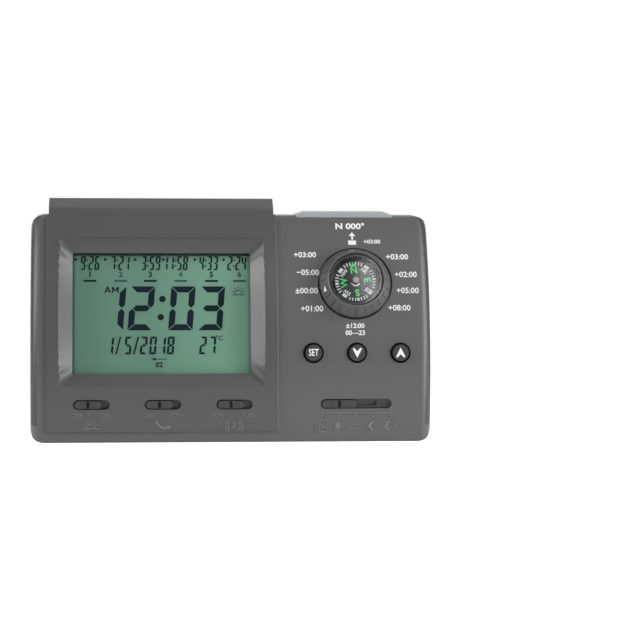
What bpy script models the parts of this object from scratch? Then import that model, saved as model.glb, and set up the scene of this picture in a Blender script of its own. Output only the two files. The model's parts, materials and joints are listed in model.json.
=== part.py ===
"""Azan table clock: curved plastic casing, display strap with hood, city selector round a compass,
push buttons, slide switches, snooze button, speaker and battery bay. Metres, +Z up, front towards -Y."""

from math import asin, atan2, cos, pi, radians, sin, sqrt, tan

import bmesh
import bpy
from mathutils import Matrix, Vector

MM = 0.001

# Casing
body_width = 150.0 * MM
body_depth = 52.0 * MM
body_height = 84.2 * MM
face_radius_share = 1.361045
face_vertex_share = 0.2244656
back_top_setback = 14.5 * MM
back_upright_margin = 2.5 * MM
wall = 2.5 * MM
end_rounding = 4.3 * MM
top_rounding = 3.0 * MM
base_rounding = 1.3 * MM
back_rounding = 2.5 * MM
cavity_rounding = 1.8 * MM
parting_margin = 0.5 * MM
parting_lean = radians(7.5)
clearance = 0.3 * MM
overrun = 6.0 * MM
seat_overlap = 0.4 * MM
face_steps = 14
hood_bend_steps = 4
hood_crest_steps = 3
hood_round_steps = 6
dome_steps = 4
door_round_steps = 6
corner_steps = 4
small_corner_steps = 2
fine_steps = 16
compass_steps = 32
round_steps = 24
ring_steps = 48
post_steps = 10
merge_share = 0.01
match_share = 0.1
slot_end_share = 0.499
block_bevel_share = 0.12

# Display strap and hood
strap_inset = 6.0 * MM
strap_right_share = 0.113333
strap_bottom_height = 4.2 * MM
strap_proud = 0.8 * MM
strap_sunk = 1.2 * MM
strap_edge_rounding = 0.35 * MM
hood_rise = 6.25 * MM
hood_bend_share = 0.29
hood_bend_radius = 6.3 * MM
hood_facet_lean = radians(57)
hood_crest_rounding = 0.8 * MM
hood_seam_setback = 0.6 * MM
hood_back_drop_share = 0.35
hood_back_run_share = 0.3
hood_back_rise_share = 0.4
hood_back_margin = 2.5 * MM
hood_end_inset = 0.6 * MM
hood_end_rounding = 0.5 * MM
hood_peg_radius = 1.5 * MM
hood_peg_length = 5.0 * MM
hood_peg_inset = 12.0 * MM

# Display, in its own plane: across, up the plane, and depth behind the face
display_offset = 0.1 * MM
display_height_share = 0.584323
recess_side_margin = 4.5 * MM
recess_height_share = 0.672209
recess_corner = 1.6 * MM
recess_floor_depth = 4.4 * MM
recess_wall = 1.3 * MM
recess_side_slope = 5.2 * MM
recess_end_slope = 5.25 * MM
opening_corner = 0.9 * MM
recess_lip = 1.2 * MM
window_side_margin = 2.5 * MM
window_end_margin = 2.25 * MM
window_thickness = 1.2 * MM
lcd_thickness = 2.2 * MM
backlight_thickness = 2.6 * MM
holder_wall = 2.4 * MM
holder_ledge = 2.4 * MM
holder_back = 1.2 * MM
strip_height = 2.0 * MM
strip_inset = 4.0 * MM
board_thickness = 1.6 * MM
board_corner = 1.5 * MM
plate_corner = 0.5 * MM
main_board_end_margin = 1.0 * MM
chip_side = 12.0 * MM
chip_thickness = 1.8 * MM
chip_across = 12.0 * MM

# City selector and compass, in the selector's plane
selector_across_share = 0.309333
selector_height_share = 0.706057
ring_gap = 0.65 * MM
ring_base_radius = 13.45 * MM
ring_slope_run = 2.7 * MM
ring_lip_width = 0.6 * MM
ring_proud = 5.3 * MM
ring_edge_rounding = 0.45 * MM
ring_rib_count = 24
ring_rib_width = 0.35 * MM
ring_rib_depth = 0.22 * MM
ring_rib_length_share = 0.7
rotor_overlap = 1.3 * MM
rotor_thickness = 1.6 * MM
rotor_hub_radius = 4.0 * MM
selector_board_margin = 0.6 * MM
wiper_height = 1.6 * MM
wiper_inset = 2.9 * MM
wiper_width = 2.4 * MM
post_radius = 1.8 * MM
lug_radius = 2.4 * MM
selector_post_angle = radians(45)
cup_wall = 0.8 * MM
cup_floor = 1.0 * MM
cup_rim_drop = 1.1 * MM
card_gap = 0.95 * MM
card_thickness = 0.6 * MM
card_depth_below_lip = 3.4 * MM
pivot_radius = 0.35 * MM
pivot_foot_radius = 1.6 * MM
pivot_foot_height = 0.8 * MM
jewel_radius = 1.3 * MM
jewel_height = 0.7 * MM
jewel_bore_radius = 0.7 * MM
jewel_cap_thickness = 0.3 * MM
dome_thickness = 0.7 * MM
dome_rise = 0.6 * MM

# Push buttons
button_height_share = 0.3996437
button_middle_share = 0.311
button_pitch_share = 0.109
button_count = 3
button_radius = 3.15 * MM
button_gap = 0.75 * MM
button_proud = 1.0 * MM
button_edge_rounding = 0.35 * MM
button_edge_share = 0.3
button_travel = 0.8 * MM
button_flange_overlap = 1.0 * MM
button_flange_thickness = 0.8 * MM
button_stem_radius = 1.3 * MM
button_stem_length = 2.0 * MM
tact_side = 6.0 * MM
tact_body_height = 3.6 * MM
tact_plunger_radius = 1.7 * MM
tact_plunger_height = 0.9 * MM
tact_plunger_sunk = 1.0 * MM
key_board_end_margin = 5.65 * MM
key_board_height = 9.0 * MM

# Slides
slide_height_share = 0.1733967
slide_slot_height = 3.67 * MM
slide_pocket_depth = 1.5 * MM
slide_slot_length = 13.55 * MM
slide_travel = 2.6 * MM
slide_side_gap = 0.41 * MM
slide_knob_proud = 0.35 * MM
slide_end_gap = 0.6 * MM
slide_centre_shares = (-0.34867, -0.172, 0.00533)
mode_centre_share = 0.30967
mode_slot_length = 26.7 * MM
mode_travel = 12.8 * MM
slide_stem_height = 1.0 * MM
slide_stem_width = 2.0 * MM
slide_notch_width = 0.7 * MM
slide_notch_depth = 0.5 * MM
slide_rib_pitch = 0.8 * MM
slide_rib_depth = 0.2 * MM
slide_rib_width = 0.35 * MM
slide_stem_reach = 3.8 * MM
lever_width = 1.6 * MM
lever_height = 1.4 * MM
lever_length = 2.6 * MM
lever_sunk = 1.2 * MM
switch_length = 9.0 * MM
switch_height = 4.0 * MM
switch_depth = 3.6 * MM
slide_board_inset = 11.5 * MM
slide_board_height_share = 0.09
slide_board_drop = 1.5 * MM

# Snooze and light button
snooze_centre_share = 0.28967
snooze_width_share = 0.24733
snooze_end_slope_run = 3.2 * MM
snooze_depth_share = 0.739
snooze_rise = 1.5 * MM
snooze_front_margin = 0.2 * MM
snooze_travel = 1.0 * MM
snooze_stem_length = 4.6 * MM
snooze_flange = 1.2 * MM
snooze_flange_thickness = 1.2 * MM
snooze_stem_radius = 1.6 * MM
snooze_edge_rounding = 0.5 * MM
snooze_shelf_thickness = 1.6 * MM
snooze_shelf_width = 14.0 * MM

# Rear casing
case_post_inset = 5.6 * MM
case_post_radius = 2.9 * MM
case_post_low_height = 10.0 * MM
case_post_top_drop = 14.2 * MM
case_post_reach = 6.0 * MM
screw_radius = 1.25 * MM
screw_hole_radius = 1.6 * MM
screw_length = 9.0 * MM
screw_head_radius = 2.3 * MM
screw_head_height = 1.7 * MM
screw_edge_share = 0.33
screw_bore_radius = 2.7 * MM
screw_seat_thickness = 2.5 * MM
screw_slot_width = 0.6 * MM
screw_slot_length = 2.8 * MM
screw_slot_depth = 0.7 * MM
sleeve_radius = 3.6 * MM

# Power
cell_radius = 7.1 * MM
cell_length = 49.0 * MM
cell_nub_radius = 2.7 * MM
cell_nub_length = 1.2 * MM
cell_edge_rounding = 0.5 * MM
bay_centre_share = 0.133333
bay_bottom_height = 6.6 * MM
bay_wall = 2.6 * MM
door_thickness = 2.4 * MM
door_margin = 1.6 * MM
door_pin_radius = 0.6 * MM
door_pin_length = 1.3 * MM
door_rib_count = 5
door_rib_top_drop = 2.4 * MM
door_rib_width = 14.0 * MM
door_rib_height = 0.6 * MM
door_rib_pitch = 1.6 * MM
door_rib_depth = 0.4 * MM
spring_wire_radius = 0.35 * MM
spring_turns = 4
spring_length = 5.2 * MM
spring_large_radius = 3.6 * MM
spring_small_radius = 2.0 * MM
spring_points_per_turn = 8
contact_thickness = 0.4 * MM
contact_width = 9.0 * MM

# Speaker
speaker_across_share = -0.253333
speaker_radius_share = 0.40724
speaker_rim_width = 2.2 * MM
speaker_rim_depth = 1.4 * MM
speaker_basket_depth = 4.6 * MM
speaker_back_share = 0.58333
speaker_wall = 0.8 * MM
cone_dish = 2.6 * MM
cone_thickness = 0.5 * MM
cone_cap_share = 0.27778
cap_rise_shares = (0.33, 0.25)
magnet_share = 0.5
magnet_depth = 4.0 * MM
grille_share = 0.80556
grille_slot_count = 9
grille_pitch_share = 0.206897
grille_slot_share = 0.5

# Derived sizes and places
face_radius = face_radius_share * body_height
face_vertex_height = face_vertex_share * body_height
top_setback = face_radius - sqrt(face_radius ** 2 - (body_height - face_vertex_height) ** 2)
top_depth = body_depth - back_top_setback - top_setback
parting_top_setback = top_setback + parting_margin
strap_left = strap_inset - body_width / 2
strap_right = strap_right_share * body_width
hood_height = body_height + hood_rise
display_centre_across = (strap_left + strap_right) / 2 - display_offset
display_centre_height = display_height_share * body_height
recess_width = strap_right - strap_left - 2 * recess_side_margin
recess_height = recess_height_share * body_height
opening_width = recess_width - 2 * recess_side_slope
opening_height = recess_height - 2 * recess_end_slope
window_width = opening_width + 2 * window_side_margin
window_height = opening_height + 2 * window_end_margin
selector_across = selector_across_share * body_width
selector_height = selector_height_share * body_height
ring_gap_radius = ring_base_radius + ring_gap
ring_lip_radius = ring_base_radius - ring_slope_run
ring_bore_radius = ring_lip_radius - ring_lip_width
rotor_radius = ring_gap_radius + rotor_overlap
selector_board_radius = rotor_radius + selector_board_margin
card_radius = ring_bore_radius - clearance - cup_wall - card_gap
button_height = button_height_share * body_height
button_middle_across = button_middle_share * body_width
button_pitch = button_pitch_share * body_width
button_hole_radius = button_radius + button_gap
button_flange_radius = button_hole_radius + button_flange_overlap
key_board_width = 2 * (button_pitch + key_board_end_margin)
slide_height = slide_height_share * body_height
slide_knob_height = slide_slot_height - 2 * slide_side_gap
slide_slit_height = slide_stem_height + 2 * clearance
slide_centres = tuple(share * body_width for share in slide_centre_shares)
mode_centre_across = mode_centre_share * body_width
slide_board_width = body_width - 2 * slide_board_inset
slide_board_height = slide_board_height_share * body_height
snooze_middle = snooze_centre_share * body_width
snooze_width = snooze_width_share * body_width
snooze_depth = snooze_depth_share * top_depth
snooze_top_height = body_height + snooze_rise
case_post_across = body_width / 2 - case_post_inset
case_post_heights = (case_post_low_height, body_height - case_post_top_drop)
bay_centre_across = bay_centre_share * body_width
bay_height = 4 * cell_radius + 3 * clearance
back_upright_height = bay_bottom_height + bay_height + door_margin + back_upright_margin
speaker_across = speaker_across_share * body_width
speaker_radius = speaker_radius_share * (body_height - back_upright_height)
speaker_height = back_upright_height + speaker_radius
speaker_back_radius = speaker_back_share * speaker_radius
cone_cap_radius = cone_cap_share * speaker_radius
magnet_radius = magnet_share * speaker_radius
grille_radius = grille_share * speaker_radius
grille_pitch = grille_pitch_share * grille_radius
selector_lean = asin((selector_height - face_vertex_height) / face_radius)
selector_setback = face_radius * (1 - cos(selector_lean))
ring_front_radius = ring_lip_radius - ring_edge_rounding / 2
ring_reach = ring_proud * cos(selector_lean) + ring_front_radius * sin(selector_lean) - selector_setback
front_y = (ring_reach - body_depth) / 2
back_y = front_y + body_depth
arc_centre_y = front_y + face_radius
back_lean = atan2(back_top_setback, body_height - back_upright_height)
holder_width = window_width + 2 * (holder_wall + clearance)
holder_height = window_height + 2 * (holder_wall + clearance)
window_depth = recess_floor_depth + recess_lip + clearance
lcd_depth = window_depth + window_thickness + clearance
backlight_depth = lcd_depth + lcd_thickness + clearance
holder_ledge_depth = backlight_depth + backlight_thickness + clearance
holder_end_depth = holder_ledge_depth + holder_back
main_board_depth = holder_end_depth + clearance
main_board_height = holder_height - 2 * main_board_end_margin
rotor_depth = face_radius - sqrt((face_radius - wall) ** 2 - rotor_radius ** 2) + clearance
rotor_back_depth = rotor_depth + rotor_thickness
selector_board_depth = rotor_back_depth + wiper_height + clearance
slide_knob_length = slide_slot_length - slide_travel - 2 * slide_end_gap
mode_knob_length = mode_slot_length - mode_travel - 2 * slide_end_gap


# Scene and modelling helpers
def clear_scene():
    for item in list(bpy.data.objects):
        bpy.data.objects.remove(item, do_unlink=True)


def make_collection(name):
    group = bpy.data.collections.new(name)
    bpy.context.scene.collection.children.link(group)
    return group


clear_scene()
clock_parts = make_collection("azan_clock")
cutters = make_collection("cutters")


def make_material(name, colour, roughness, metallic=0.0):
    material = bpy.data.materials.new(name)
    material.use_nodes = True
    shader = material.node_tree.nodes["Principled BSDF"]
    shader.inputs["Base Color"].default_value = (*colour, 1.0)
    shader.inputs["Roughness"].default_value = roughness
    shader.inputs["Metallic"].default_value = metallic
    return material


casing_plastic = make_material("casing_plastic", (0.105, 0.105, 0.105), 0.45)
dark_plastic = make_material("dark_plastic", (0.02, 0.02, 0.02), 0.5)
button_plastic = make_material("button_plastic", (0.36, 0.41, 0.43), 0.4)
clear_plastic = make_material("clear_plastic", (0.75, 0.78, 0.76), 0.05)
lcd_green = make_material("lcd_green", (0.11, 0.22, 0.16), 0.3)
card_black = make_material("card_black", (0.01, 0.01, 0.01), 0.5)
white_plastic = make_material("white_plastic", (0.7, 0.7, 0.68), 0.5)
board_green = make_material("board_green", (0.03, 0.16, 0.06), 0.5)
rubber_grey = make_material("rubber_grey", (0.09, 0.08, 0.08), 0.8)
bright_metal = make_material("bright_metal", (0.6, 0.6, 0.6), 0.3, 1.0)
cell_jacket = make_material("cell_jacket", (0.08, 0.09, 0.11), 0.35)


def link(item, group):
    for owner in list(item.users_collection):
        owner.objects.unlink(item)
    group.objects.link(item)


def finish(item, name, material, parent=None):
    """Name a piece, give it its material and put it with the clock's parts"""
    item.name = name
    item.data.name = name
    item.data.materials.clear()
    item.data.materials.append(material)
    link(item, clock_parts)
    if parent is not None:
        item.parent = parent
    item.data.shade_smooth()
    item.data.set_sharp_from_angle(angle=radians(30))
    return item


def as_tool(item, parent=None):
    """Keep an object as a hidden cutter or a shape to be joined"""
    link(item, cutters)
    item.hide_render = True
    item.display_type = "WIRE"
    if parent is not None:
        item.parent = parent
    return item


def combine(target, tool, operation):
    modifier = target.modifiers.new(operation.lower(), "BOOLEAN")
    modifier.operation = operation
    modifier.solver = "EXACT"
    modifier.object = tool
    return modifier


def cut(target, *tools):
    for tool in tools:
        combine(target, tool, "DIFFERENCE")


def join(target, *tools):
    for tool in tools:
        combine(target, tool, "UNION")


def bevel(item, width, segments=2, angle=radians(50)):
    modifier = item.modifiers.new("bevel", "BEVEL")
    modifier.width = width
    modifier.segments = segments
    modifier.limit_method = "ANGLE"
    modifier.angle_limit = angle
    return modifier


def new_mesh_object(name, mesh):
    item = bpy.data.objects.new(name, mesh)
    cutters.objects.link(item)
    return item


def plate(name, outline, thickness):
    """Extrude a closed outline, from local zero upwards along Z"""
    curve = bpy.data.curves.new(name, "CURVE")
    curve.dimensions = "2D"
    curve.fill_mode = "BOTH"
    curve.extrude = thickness / 2
    spline = curve.splines.new("POLY")
    spline.points.add(len(outline) - 1)
    for point, (across, up) in zip(spline.points, outline):
        point.co = (across, up, 0, 1)
    spline.use_cyclic_u = True
    return curve_to_mesh(name, curve, Matrix.Translation((0, 0, thickness / 2)))


def curve_to_mesh(name, curve, shift):
    guide = bpy.data.objects.new(name + "_curve", curve)
    cutters.objects.link(guide)
    bpy.context.view_layer.update()
    evaluated = guide.evaluated_get(bpy.context.evaluated_depsgraph_get())
    mesh = bpy.data.meshes.new_from_object(evaluated)
    bpy.data.objects.remove(guide, do_unlink=True)
    shape = bmesh.new()
    shape.from_mesh(mesh)
    bmesh.ops.remove_doubles(shape, verts=shape.verts, dist=merge_share * clearance)
    bmesh.ops.transform(shape, matrix=shift, verts=shape.verts)
    bmesh.ops.dissolve_limit(shape, angle_limit=radians(0.5), verts=shape.verts, edges=shape.edges)
    bmesh.ops.recalc_face_normals(shape, faces=shape.faces)
    shape.to_mesh(mesh)
    shape.free()
    return new_mesh_object(name, mesh)


def turned(name, profile, steps=round_steps):
    """Turn a profile of (radius, height) points, listed down its outer side, about Z"""
    mesh = bpy.data.meshes.new(name)
    points = [(radius, 0, height) for radius, height in profile]
    closed = profile[0][0] > 0 and profile[-1][0] > 0
    edges = [(index, index + 1) for index in range(len(points) - 1)]
    if closed:
        edges.append((len(points) - 1, 0))
    mesh.from_pydata(points, edges, [])
    item = new_mesh_object(name, mesh)
    screw = item.modifiers.new("turn", "SCREW")
    screw.steps = steps
    screw.render_steps = steps
    screw.use_merge_vertices = True
    screw.merge_threshold = merge_share * clearance
    return item


def box(name, size, centre=(0, 0, 0)):
    bpy.ops.mesh.primitive_cube_add(size=1)
    item = bpy.context.object
    item.data.transform(Matrix.Diagonal((*size, 1)))
    item.name = name
    item.location = centre
    return item


def disc(name, radius, height, centre=(0, 0, 0), steps=round_steps):
    """A cylinder standing on its centre point"""
    bpy.ops.mesh.primitive_cylinder_add(vertices=steps, radius=radius, depth=height)
    item = bpy.context.object
    item.data.transform(Matrix.Translation((0, 0, height / 2)))
    item.name = name
    item.location = centre
    return item


def rounded_outline(width, height, radius, steps=corner_steps, side_steps=1):
    """Points round a rectangle with arcs at its corners, its upright sides split into equal steps"""
    points = []
    half_width, half_height = width / 2 - radius, height / 2 - radius
    corners = ((1, 1), (-1, 1), (-1, -1), (1, -1))
    for quarter, (side, end) in enumerate(corners):
        for step in range(steps + 1):
            angle = (quarter + step / steps) * pi / 2
            points.append((side * half_width + radius * cos(angle), end * half_height + radius * sin(angle)))
        if quarter % 2 == 1:
            low, high = points[-1], (points[-1][0], -points[-1][1])
            for step in range(1, side_steps):
                share = step / side_steps
                points.append((low[0], low[1] + share * (high[1] - low[1])))
    last, first = points[-1], points[0]
    for step in range(1, side_steps):
        share = step / side_steps
        points.append((last[0], last[1] + share * (first[1] - last[1])))
    return points


# The casing's side view, in (y, z)
def face_angle(height, radius=face_radius):
    return asin((height - face_vertex_height) / radius)


def face_point(angle, radius=face_radius):
    return (arc_centre_y - radius * cos(angle), face_vertex_height + radius * sin(angle))


def face_arc(radius, low, high, steps=face_steps):
    """Points up the convex face between two heights"""
    start, end = face_angle(low, radius), face_angle(high, radius)
    return [face_point(start + (end - start) * step / steps, radius) for step in range(steps + 1)]


def back_point(height, inset=0.0):
    """The back's point at a height, on its slanted upper part or its upright lower part"""
    slanted = back_y - inset / cos(back_lean) - (height - back_upright_height) * tan(back_lean)
    return (min(back_y - inset, slanted), height)


def casing_outline(inset):
    """The casing's side outline drawn in by an even thickness"""
    low, high = inset, body_height - inset
    break_height = back_upright_height - inset * tan(back_lean / 2)
    outline = face_arc(face_radius - inset, low, high)
    outline += [back_point(high, inset), (back_y - inset, break_height), (back_y - inset, low)]
    return outline


def parting_y(height):
    return front_y + parting_top_setback + (height - body_height) * tan(parting_lean)


# A side prism lies across the clock: outline points are (y, z), ends are x places
side_turn = Matrix(((0, 0, 1, 0), (1, 0, 0, 0), (0, 1, 0, 0), (0, 0, 0, 1)))


def side_prism(name, outline, left, right):
    item = plate(name, outline, right - left)
    item.data.transform(Matrix.Translation((left, 0, 0)) @ side_turn)
    return item


def round_long_edges(item, outline, rounds, end_round, segments=4):
    """Bevel a side prism: its end outlines by one radius, chosen long edges by their own"""
    widest = max([end_round] + list(rounds.values()))
    shape = bmesh.new()
    shape.from_mesh(item.data)
    weight = shape.edges.layers.float.new("bevel_weight_edge")
    tolerance = match_share * clearance
    for edge in shape.edges:
        first, second = (vert.co for vert in edge.verts)
        if abs(first.x - second.x) < tolerance:
            edge[weight] = end_round / widest
            continue
        for index, radius in rounds.items():
            y, z = outline[index]
            if abs(first.y - y) < tolerance and abs(first.z - z) < tolerance:
                edge[weight] = radius / widest
    shape.to_mesh(item.data)
    shape.free()
    modifier = item.modifiers.new("bevel", "BEVEL")
    modifier.width = widest
    modifier.segments = segments
    modifier.limit_method = "WEIGHT"
    modifier.use_clamp_overlap = False
    return item


def round_offset(radius, turn):
    """How far from an edge its rounding starts, when its faces turn by an angle"""
    return radius * tan(turn / 2)


def casing_solid(name, inset, end_round, top_round, base_round, back_round, segments=3):
    outline = casing_outline(inset)
    half = body_width / 2 - inset
    item = side_prism(name, outline, -half, half)
    rounds = {
        0: round_offset(base_round, pi / 2 + face_angle(0)),
        face_steps: round_offset(top_round, pi / 2 - face_angle(body_height)),
        face_steps + 1: round_offset(back_round, pi / 2 - back_lean),
        face_steps + 3: base_round,
    }
    return as_tool(round_long_edges(item, outline, rounds, end_round, segments))


def parting_block(name, side, gap):
    """A block that covers everything on one side of the leaning parting plane"""
    reach = body_width
    block = box(name, (2 * body_width, reach, 2 * body_width))
    middle = parting_y(body_height / 2)
    turn = Matrix.Rotation(-parting_lean, 4, "X")
    shift = Matrix.Translation((0, middle, body_height / 2))
    block.data.transform(shift @ turn @ Matrix.Translation((0, side * (reach / 2 + gap), 0)))
    return as_tool(block)


# Datums: local X across, local Y up the face, local Z out of the face
def face_datum(name, across, height):
    datum = bpy.data.objects.new(name, None)
    clock_parts.objects.link(datum)
    angle = face_angle(height)
    y, z = face_point(angle)
    datum.location = (across, y, z)
    datum.rotation_euler = (pi / 2 - angle, 0, 0)
    datum.empty_display_size = overrun
    return datum


display_datum = face_datum("display_datum", display_centre_across, display_centre_height)
selector_datum = face_datum("selector_datum", selector_across, selector_height)
button_places = [button_middle_across + (index - button_count // 2) * button_pitch
                 for index in range(button_count)]
button_datums = [face_datum(f"button_datum_{number}", across, button_height)
                 for number, across in enumerate(button_places, 1)]
slide_row_datum = face_datum("slide_row_datum", 0, slide_height)

speaker_datum = bpy.data.objects.new("speaker_datum", None)
clock_parts.objects.link(speaker_datum)
speaker_datum.location = (speaker_across, *back_point(speaker_height, wall))
speaker_datum.rotation_euler = (back_lean - pi / 2, 0, 0)
speaker_datum.empty_display_size = overrun


def place(item, datum, across=0.0, up=0.0, out=0.0):
    item.parent = datum
    item.location = (across, up, out)
    return item


# Casing halves
def make_casing_half(name, side, parting_gap):
    """One side of the hollow casing: the solid with the other side cut off, then hollowed"""
    outer = casing_solid(name, 0.0, end_rounding, top_rounding, base_rounding, back_rounding)
    outer.hide_render = False
    outer.display_type = "TEXTURED"
    finish(outer, name, casing_plastic)
    cut(outer, parting_block(name + "_parting", -side, -parting_gap))
    inner = casing_solid(name + "_cavity", wall, cavity_rounding, cavity_rounding, cavity_rounding / 2,
                         cavity_rounding / 2, 1)
    cut(outer, inner)
    return outer


front_case = make_casing_half("front_case", -1, clearance / 2)
rear_case = make_casing_half("rear_case", 1, clearance / 2)


def add_post(target, datum, across, up, top, bottom, radius, steps=post_steps):
    """A moulded post from one depth to another behind the face, joined to its wall"""
    post = disc(target.name + "_post", radius, top - bottom, steps=steps)
    join(target, as_tool(place(post, datum, across, up, bottom)))


# Strap rebate in the front casing, and the window that the display's recess passes through
def strap_section(outer, inner, low, high):
    return face_arc(outer, low, high) + face_arc(inner, low, high)[::-1]


rebate_outline = strap_section(face_radius + overrun, face_radius - strap_sunk,
                               strap_bottom_height - clearance, body_height + overrun)
strap_rebate = as_tool(side_prism("strap_rebate", rebate_outline, strap_left - clearance,
                                  strap_right + clearance))
recess_outer_width = recess_width + 2 * recess_wall
recess_outer_height = recess_height + 2 * recess_wall
window_hole = as_tool(box("window_hole", (recess_outer_width + 2 * clearance,
                                          recess_outer_height + 2 * clearance, 4 * overrun)))
place(window_hole, display_datum)
cut(front_case, strap_rebate, window_hole)
cut(rear_case, strap_rebate)


# Display surround: strap with the display's bevelled recess
def strap_surface_out(up):
    """How far the strap's face stands out at a place up the display's plane"""
    radius = face_radius + strap_proud
    return sqrt(radius * radius - up * up) - face_radius


def recess_cutter():
    """Loft from the recess's floor rectangle out through its mouth on the curved strap"""
    floor_loop = rounded_outline(opening_width, opening_height, opening_corner, corner_steps, face_steps)
    mouth_loop = rounded_outline(recess_width, recess_height, recess_corner, corner_steps, face_steps)
    outside = overrun
    shape = bmesh.new()
    rings = [[], []]
    for (floor_x, floor_up), (mouth_x, mouth_up) in zip(floor_loop, mouth_loop):
        low = Vector((floor_x, floor_up, -recess_floor_depth))
        mouth = Vector((mouth_x, mouth_up, strap_surface_out(mouth_up)))
        share = (outside - low.z) / (mouth.z - low.z)
        rings[0].append(shape.verts.new(low))
        rings[1].append(shape.verts.new(low + share * (mouth - low)))
    count = len(floor_loop)
    for index in range(count):
        after = (index + 1) % count
        shape.faces.new((rings[0][index], rings[0][after], rings[1][after], rings[1][index]))
    shape.faces.new(rings[0][::-1])
    shape.faces.new(rings[1])
    bmesh.ops.triangulate(shape, faces=[face for face in shape.faces if len(face.verts) == 4])
    bmesh.ops.recalc_face_normals(shape, faces=shape.faces)
    mesh = bpy.data.meshes.new("recess_cutter")
    shape.to_mesh(mesh)
    shape.free()
    return as_tool(place(new_mesh_object("recess_cutter", mesh), display_datum))


def recess_block():
    """Solid behind the strap that holds the recess, its front following the strap's face"""
    half = recess_outer_height / 2
    outline = []
    for step in range(face_steps + 1):
        up = -half + 2 * half * step / face_steps
        outline.append((up, strap_surface_out(up) - seat_overlap))
    back = -(recess_floor_depth + recess_lip)
    outline += [(half, back), (-half, back)]
    item = plate("recess_block", outline, recess_outer_width)
    item.data.transform(Matrix.Translation((-recess_outer_width / 2, 0, 0)) @ side_turn)
    return as_tool(place(item, display_datum))


def slot_prism(name, length, height, depth):
    return plate(name, rounded_outline(length, height, slot_end_share * height), depth)


def hood_front_profile():
    """The strap's face carried on upwards: a soft bend, a leaning facet and a rounded crest"""
    radius = face_radius + strap_proud
    bend_height = body_height + hood_bend_share * hood_rise
    start = face_angle(bend_height, radius)
    y, z = face_point(start, radius)
    centre_y, centre_z = y + hood_bend_radius * cos(start), z - hood_bend_radius * sin(start)
    profile = []
    for step in range(hood_bend_steps + 1):
        angle = start + (hood_facet_lean - start) * step / hood_bend_steps
        profile.append((centre_y - hood_bend_radius * cos(angle), centre_z + hood_bend_radius * sin(angle)))
    crest_z = hood_height - hood_crest_rounding
    end_y, end_z = profile[-1]
    run = (crest_z + hood_crest_rounding * sin(hood_facet_lean) - end_z) / cos(hood_facet_lean)
    crest_y = end_y + run * sin(hood_facet_lean) + hood_crest_rounding * cos(hood_facet_lean)
    for step in range(hood_crest_steps + 1):
        angle = hood_facet_lean + (pi / 2 - hood_facet_lean) * step / hood_crest_steps
        profile.append((crest_y - hood_crest_rounding * cos(angle),
                        crest_z + hood_crest_rounding * sin(angle)))
    return bend_height, profile


hood_bend_height, hood_front = hood_front_profile()
hood_seam_y = hood_front[-1][0] + hood_seam_setback
hood_low = body_height + clearance


def make_display_surround():
    """Strap with the hood's front in one: arc, bend, facet and crest, then back down behind them"""
    outer = face_arc(face_radius + strap_proud, strap_bottom_height, hood_bend_height)
    inner = face_arc(face_radius - strap_sunk + clearance, strap_bottom_height, hood_low)
    section = outer[:-1] + hood_front + [(hood_seam_y, hood_height), (hood_seam_y, hood_low)] + inner[::-1]
    surround = side_prism("display_surround", section, strap_left, strap_right)
    for end in (strap_left, strap_right):
        notch = box("hood_end_notch", (2 * hood_end_inset, body_depth, 2 * hood_rise),
                    (end, hood_seam_y, hood_low + hood_rise))
        cut(surround, as_tool(notch))
    bevel(surround, strap_edge_rounding)
    join(surround, recess_block())
    cut(surround, recess_cutter())
    opening = plate("display_opening", rounded_outline(opening_width, opening_height, opening_corner),
                    recess_floor_depth + 2 * overrun)
    cut(surround, as_tool(place(opening, display_datum, 0, 0, -recess_floor_depth - overrun)))
    for number, across in enumerate(slide_centres):
        slot = slot_prism(f"strap_slot_{number + 1}", slide_slot_length, slide_slot_height, 2 * overrun)
        cut(surround, as_tool(place(slot, slide_row_datum, across, 0, -overrun)))
    return finish(surround, "display_surround", casing_plastic)


display_surround = make_display_surround()


# Hood over the casing's top, behind the strap's crest
def make_hood():
    """Wedge that falls from the crest to a rounded back edge"""
    start_y = hood_seam_y + clearance
    end_y = back_point(body_height)[0] - hood_back_margin
    depth = end_y - start_y
    shoulder = hood_height - hood_back_drop_share * hood_rise
    back_run, back_rise = hood_back_run_share * depth, hood_back_rise_share * hood_rise
    outline = [(start_y, hood_low), (start_y, hood_height)]
    for step in range(hood_round_steps + 1):
        angle = pi / 2 * (1 - step / hood_round_steps)
        outline.append((end_y - back_run + back_run * cos(angle),
                        shoulder - back_rise + back_rise * sin(angle)))
    outline.append((end_y, hood_low))
    hood = side_prism("top_hood", outline, strap_left + hood_end_inset, strap_right - hood_end_inset)
    bevel(hood, hood_end_rounding, 2, radians(70))
    peg_y = (start_y + end_y) / 2
    for across in (strap_left + hood_peg_inset, strap_right - hood_peg_inset):
        peg = disc("hood_peg", hood_peg_radius, hood_peg_length + seat_overlap,
                   (across, peg_y, body_height - hood_peg_length + clearance), fine_steps)
        join(hood, as_tool(peg))
        hole = disc("hood_peg_hole", hood_peg_radius + clearance, 2 * wall + overrun,
                    (across, peg_y, body_height - 2 * wall), fine_steps)
        cut(rear_case, as_tool(hole))
    return finish(hood, "top_hood", casing_plastic)


top_hood = make_hood()


# Display stack
def plane_plate(name, width, height, depth, thickness, material, corner=plate_corner):
    item = plate(name, rounded_outline(width, height, corner, small_corner_steps), thickness)
    place(item, display_datum, 0, 0, -depth - thickness)
    return finish(item, name, material, display_datum)


display_window = plane_plate("display_window", window_width, window_height, window_depth, window_thickness,
                             clear_plastic)
lcd_glass = plane_plate("lcd_glass", window_width, window_height, lcd_depth, lcd_thickness, lcd_green)
strip_cut_height = strip_height + 2 * clearance
backlight_height = window_height - strip_cut_height
backlight_panel = plane_plate("backlight_panel", window_width, backlight_height, backlight_depth,
                              backlight_thickness, white_plastic)
backlight_panel.location.y = strip_cut_height / 2


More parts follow.
